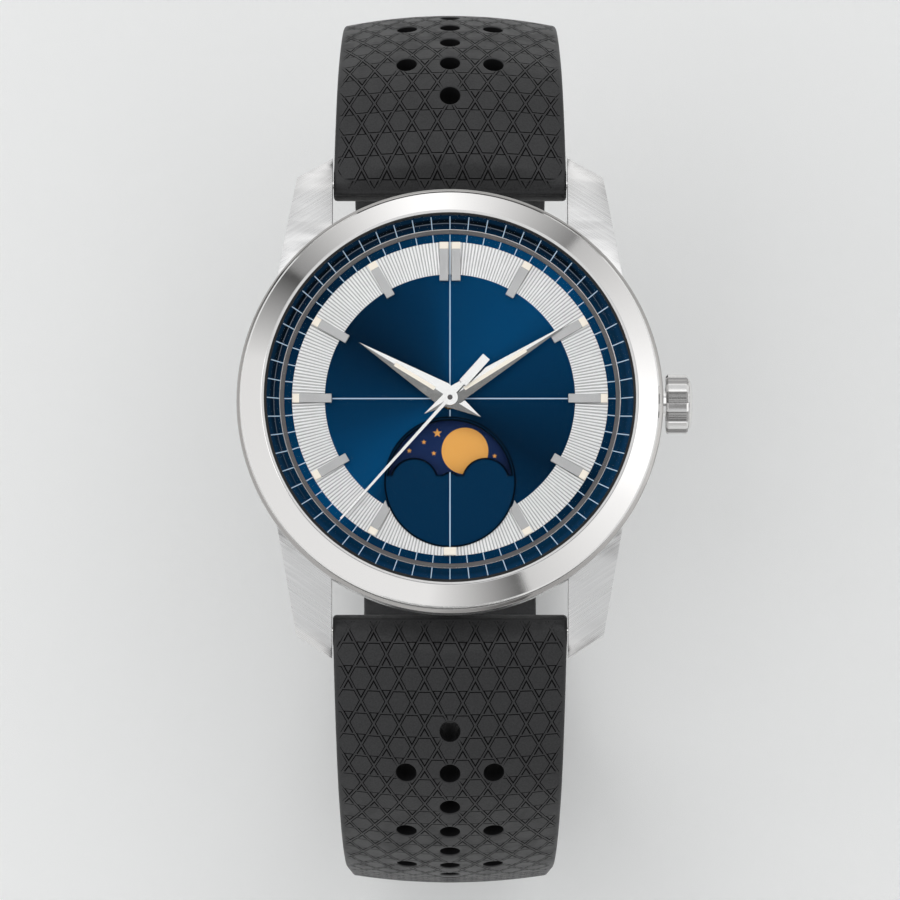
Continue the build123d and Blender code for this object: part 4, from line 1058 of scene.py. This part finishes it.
# Rings below a loop of the top face: shift outwards, drop from the top or a height of its own, and
# whether it stays clear of the spring bar
def wallRings(isHole):
    wide, foot = [strapValues[key] for key in (["holeRound"] * 2 if isHole else ["round", "footRound"])]
    low, room = -strapValues["inner"], strapValues["boreRoom"]
    rings = [(wide * math.sin(t), -wide * (1 - math.cos(t)), None, False) for t in (0.4, 0.8, 1.2, 1.57)]
    rings += [(wide, 0, room, False), (wide, 0, room, True), (wide, 0, low + foot, True)]
    return rings + [(wide - foot * 0.3, 0, low + foot * 0.3, True), (wide - foot, 0, low, True)]


def strapShape(half):
    centres, room = holeCentres(half), strapValues["boreRoom"]
    holeTop = strapValues["holeRadius"] + strapValues["holeRound"]
    lines = grooves(half)
    points, edges, outlineStart, depth = topLines(half, lines, centres, holeTop)
    flat, kept, origins = triangulate(points, edges, outlineStart)
    used = sorted({i for face in kept for i in face})
    number = {old: new for new, old in enumerate(used)}
    flat, origins = [flat[i] for i in used], [origins[i] for i in used]
    kept = [tuple(number[i] for i in face) for face in kept]
    verts, sunkVerts = [], []
    for (s, x), sources in zip(flat, origins):
        known = [depth[i] for i in sources if i in depth]
        sunk = max(known) if known else nearestDepth(lines, s, x)
        sunk *= grooveFade(half, s, x, centres, holeTop)
        sunkVerts.append(sunk > 0.5)
        verts.append(place(half, s, x, topHeight(s, x) - sunk * strapValues["lineDepth"]))
    allFaces = list(kept)
    # Faces touching a groove take the darker rubber: painted shade in the grooves
    dark = [i for i, face in enumerate(kept) if any(sunkVerts[v] for v in face)]
    bottomPoints, bottomEdges, bottomVerts = [], [], []
    for loop in boundaryLoops(kept):
        outline = [flat[i] for i in loop]
        size = len(outline)
        isHole = size > 3 and max(p[0] for p in outline) - min(p[0] for p in outline) < 2.2
        previous = list(loop)
        for shift, drop, level, clear in wallRings(isHole):
            moved = offsetLine(outline, shift, True)
            first = len(verts)
            for (s, x), (baseS, baseX) in zip(moved, outline):
                outward = topHeight(baseS, baseX) + drop if level is None else level
                verts.append(place(half, max(s, room) if clear else s, x, outward))
            ring = list(range(first, first + size))
            # Hole walls take the darker rubber: painted shade inside the holes
            if isHole and level is not None:
                dark += range(len(allFaces), len(allFaces) + size)
            for i in range(size):
                j = (i + 1) % size
                allFaces.append((previous[j], previous[i], ring[i], ring[j]))
            previous = ring
        addLoop(bottomPoints, bottomEdges, [(max(s, room), x) for s, x in moved])
        bottomVerts += previous
    ringCount = len(bottomPoints)
    length = half["end"] - half["start"]
    steps = int(length / 1.3)
    for step in range(1, steps):
        s = half["start"] + length * step / steps
        bottomPoints += [(s, x * 1.9) for x in range(-4, 5)]
    lowFlat, lowFaces, lowOrigins = triangulate(bottomPoints, bottomEdges, 0)
    lookup = {}
    for index, source in enumerate(lowOrigins):
        own = [i for i in source if i < ringCount]
        lookup[index] = bottomVerts[own[0]] if own else None
    for face in lowFaces:
        for i in face:
            if lookup[i] is None:
                lookup[i] = len(verts)
                verts.append(place(half, *lowFlat[i], -strapValues["inner"]))
        allFaces.append(tuple(lookup[i] for i in face[::-1]))
    return verts, allFaces, dark


def barrelShape(radius, bore, left, right, rounding):
    outer = []
    for turn in (0.0, 0.52, 1.05, 1.57):
        reach = radius - rounding + rounding * math.sin(turn)
        outer.append((reach, left + rounding - rounding * math.cos(turn)))
    outer += [(r, left + right - x) for r, x in outer[::-1]]
    return lathe([(bore, left)] + outer + [(bore, right)], 48)


def addStrap(half, extras):
    *body, dark = strapShape(half)
    nose = barrelShape(strapValues["nose"], 0.8, -9.9, 9.9, 0.3)
    shape = join(body, alongX(nose, half["side"] * strapValues["reach"], strapValues["height"]), *extras)
    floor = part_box(half["name"])[0][2] / mm
    verts = [(x, y, max(z, floor)) for x, y, z in shape[0]]
    piece(
        half["name"] + "_rubber", verts, shape[1], half["name"], mats["rubber"], "strap_rubber",
        [half["name"]], sharp=40, shaded=(mats["groove"], dark),
    )


buckleBar = walk(shortHalf, shortHalf["length"])[:2]
ends = [alongX(barrelShape(1.5, 0.65, *span, 0.2), *buckleBar) for span in ((-8.0, -1.6), (1.6, 8.0))]
addStrap(shortHalf, ends)
addStrap(longHalf, [])

keeperValues = {"wall": 0.9, "width": 4.0, "corner": 0.8, "edge": 0.3}


def roundedBox(halfX, low, high, corner, steps=6):
    points = []
    for cx, cz, start in (
        (halfX - corner, high - corner, 0), (-halfX + corner, high - corner, 90),
        (-halfX + corner, low + corner, 180), (halfX - corner, low + corner, 270),
    ):
        for step in range(steps + 1):
            turn = math.radians(start + 90 * step / steps)
            points.append((cx + corner * math.cos(turn), cz + corner * math.sin(turn)))
    return points


def addKeeper(name, node, body, values):
    low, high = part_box(node)
    halfX, bottom, top = high[0] / mm, low[2] / mm, high[2] / mm
    middle = (low[1] + high[1]) / 2 / mm
    wall, halfY = values["wall"], values["width"] / 2
    outer = roundedBox(halfX, bottom, top, values["corner"])
    inner = roundedBox(halfX - wall, bottom + wall, top - wall, 0.35)
    count = len(outer)
    verts = [(x, middle + y * halfY, z) for ring in (outer, inner) for y in (-1, 1) for x, z in ring]
    faces = []
    for i in range(count):
        j = (i + 1) % count
        near, far, innerNear, innerFar = [(i + count * ring, j + count * ring) for ring in range(4)]
        faces += [(*near, *far[::-1]), (innerNear[0], *innerFar, innerNear[1])]
        faces += [(near[0], *innerNear, near[1]), (*far, *innerFar[::-1])]
    edge = values["edge"]
    piece(name, verts, faces, body, mats["rubber"], "strap_rubber", [node], bevel=edge, segments=3)


addKeeper("fixed_keeper", "keeper_fixed", "strap_12", keeperValues)
addKeeper("free_keeper", "keeper_free", "keeper_free", keeperValues)
dress(mats["buckle"], "buckle_frame", "buckle_tongue")
dress(mats["steel"], "buckle_bar")
print("strap ready")


floorValues = {"size": 3.0, "gap": 0.02, "colour": (0.93, 0.93, 0.92, 1)}


def addFloor(values):
    half = values["size"] / 2
    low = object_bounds()[0][2] - values["gap"] * mm
    corners = [(-half, -half, low), (half, -half, low), (half, half, low), (-half, half, low)]
    paper = simple("floorPaper", values["colour"], 0.8, 0.0, 0.02, 0.1)
    made, _ = addMesh("studio_floor", corners, [(0, 1, 2, 3)], paper)
    made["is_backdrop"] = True


addFloor(floorValues)

# Name, place, size and power of each lamp. All aim at the origin.
lightValues = [
    ("topLight", (0.0, 0.42, 0.85), 0.9, 1.6),
    ("leftLight", (-0.75, 0.0, 0.55), 0.6, 1.2),
]


def addLights(values):
    for name, spot, size, power in values:
        lamp = bpy.data.lights.new(name, "AREA")
        lamp.shape = "SQUARE"
        lamp.size = size
        lamp.energy = power
        made = addObject(name, lamp)
        made.location = spot
        made.rotation_euler = (-Vector(spot)).to_track_quat("-Z", "Y").to_euler()


addLights(lightValues)


# Soft light wall round the table, seen by polished metal only. Stops: angle clockwise from 12, brightness.
wallValues = {
    "radius": 550.0, "low": -60.9, "high": 170.0, "strength": 1.5,
    "stops": [
        (0, 1.17), (22, 0.55), (33.9, 0.24), (34.6, 0.56), (66, 0.98), (90, 1.39), (102, 1.34), (115, 1.08),
        (155, 0.69), (156.7, 0.12), (187, 0.91), (288, 0.84), (300, 0.46), (313.5, 0.07), (314.3, 0.27),
        (322, 0.45), (347, 1.12), (355, 1.27), (360, 1.17),
    ],
}
cardValues = {"x": (-0.3, 0.3), "y": (-0.22, -0.02), "height": 0.5, "brightness": 0.29}


def addGlow(name, verts, faces, glow, strength, throughGlass):
    finish, tree, shader = material(name + "_glow", (0, 0, 0, 1), 1.0, specular=0.0)
    shader.inputs["Emission Strength"].default_value = strength
    if callable(glow):
        tree.links.new(glow(tree), shader.inputs["Emission Color"])
    else:
        shader.inputs["Emission Color"].default_value = (glow, glow, glow, 1)
    made, _ = addMesh(name, verts, faces, finish)
    made.visible_camera = False
    made.visible_diffuse = False
    made.visible_transmission = throughGlass
    made.visible_shadow = False
    made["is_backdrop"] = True


def addWall(values):
    def glow(tree):
        turn = useGroup(tree, polar)["Turn"]
        stops = [(at / 360, (*[level / values["strength"]] * 3, 1)) for at, level in values["stops"]]
        return ramp(tree, turn, stops)

    edges = [(values["radius"], values["low"]), (values["radius"], values["high"])]
    verts, faces = lathe(edges, 180, False)
    addGlow("light_wall", [Vector(v) * mm for v in verts], faces, glow, values["strength"], False)


def addCard(values):
    (left, right), (near, far), height = values["x"], values["y"], values["height"]
    corners = [(left, near, height), (right, near, height), (right, far, height), (left, far, height)]
    addGlow("dim_card", corners, [(0, 1, 2, 3)], values["brightness"], 1.0, True)


addWall(wallValues)
addCard(cardValues)


def addWorld():
    world = bpy.data.worlds.new("studioAir")
    scene.world = world
    world.use_nodes = True
    shade = world.node_tree.nodes["Background"]
    shade.inputs["Color"].default_value = (0.80, 0.81, 0.82, 1)
    shade.inputs["Strength"].default_value = 0.9


addWorld()
scene.view_settings.view_transform = "Standard"
print("light ready")
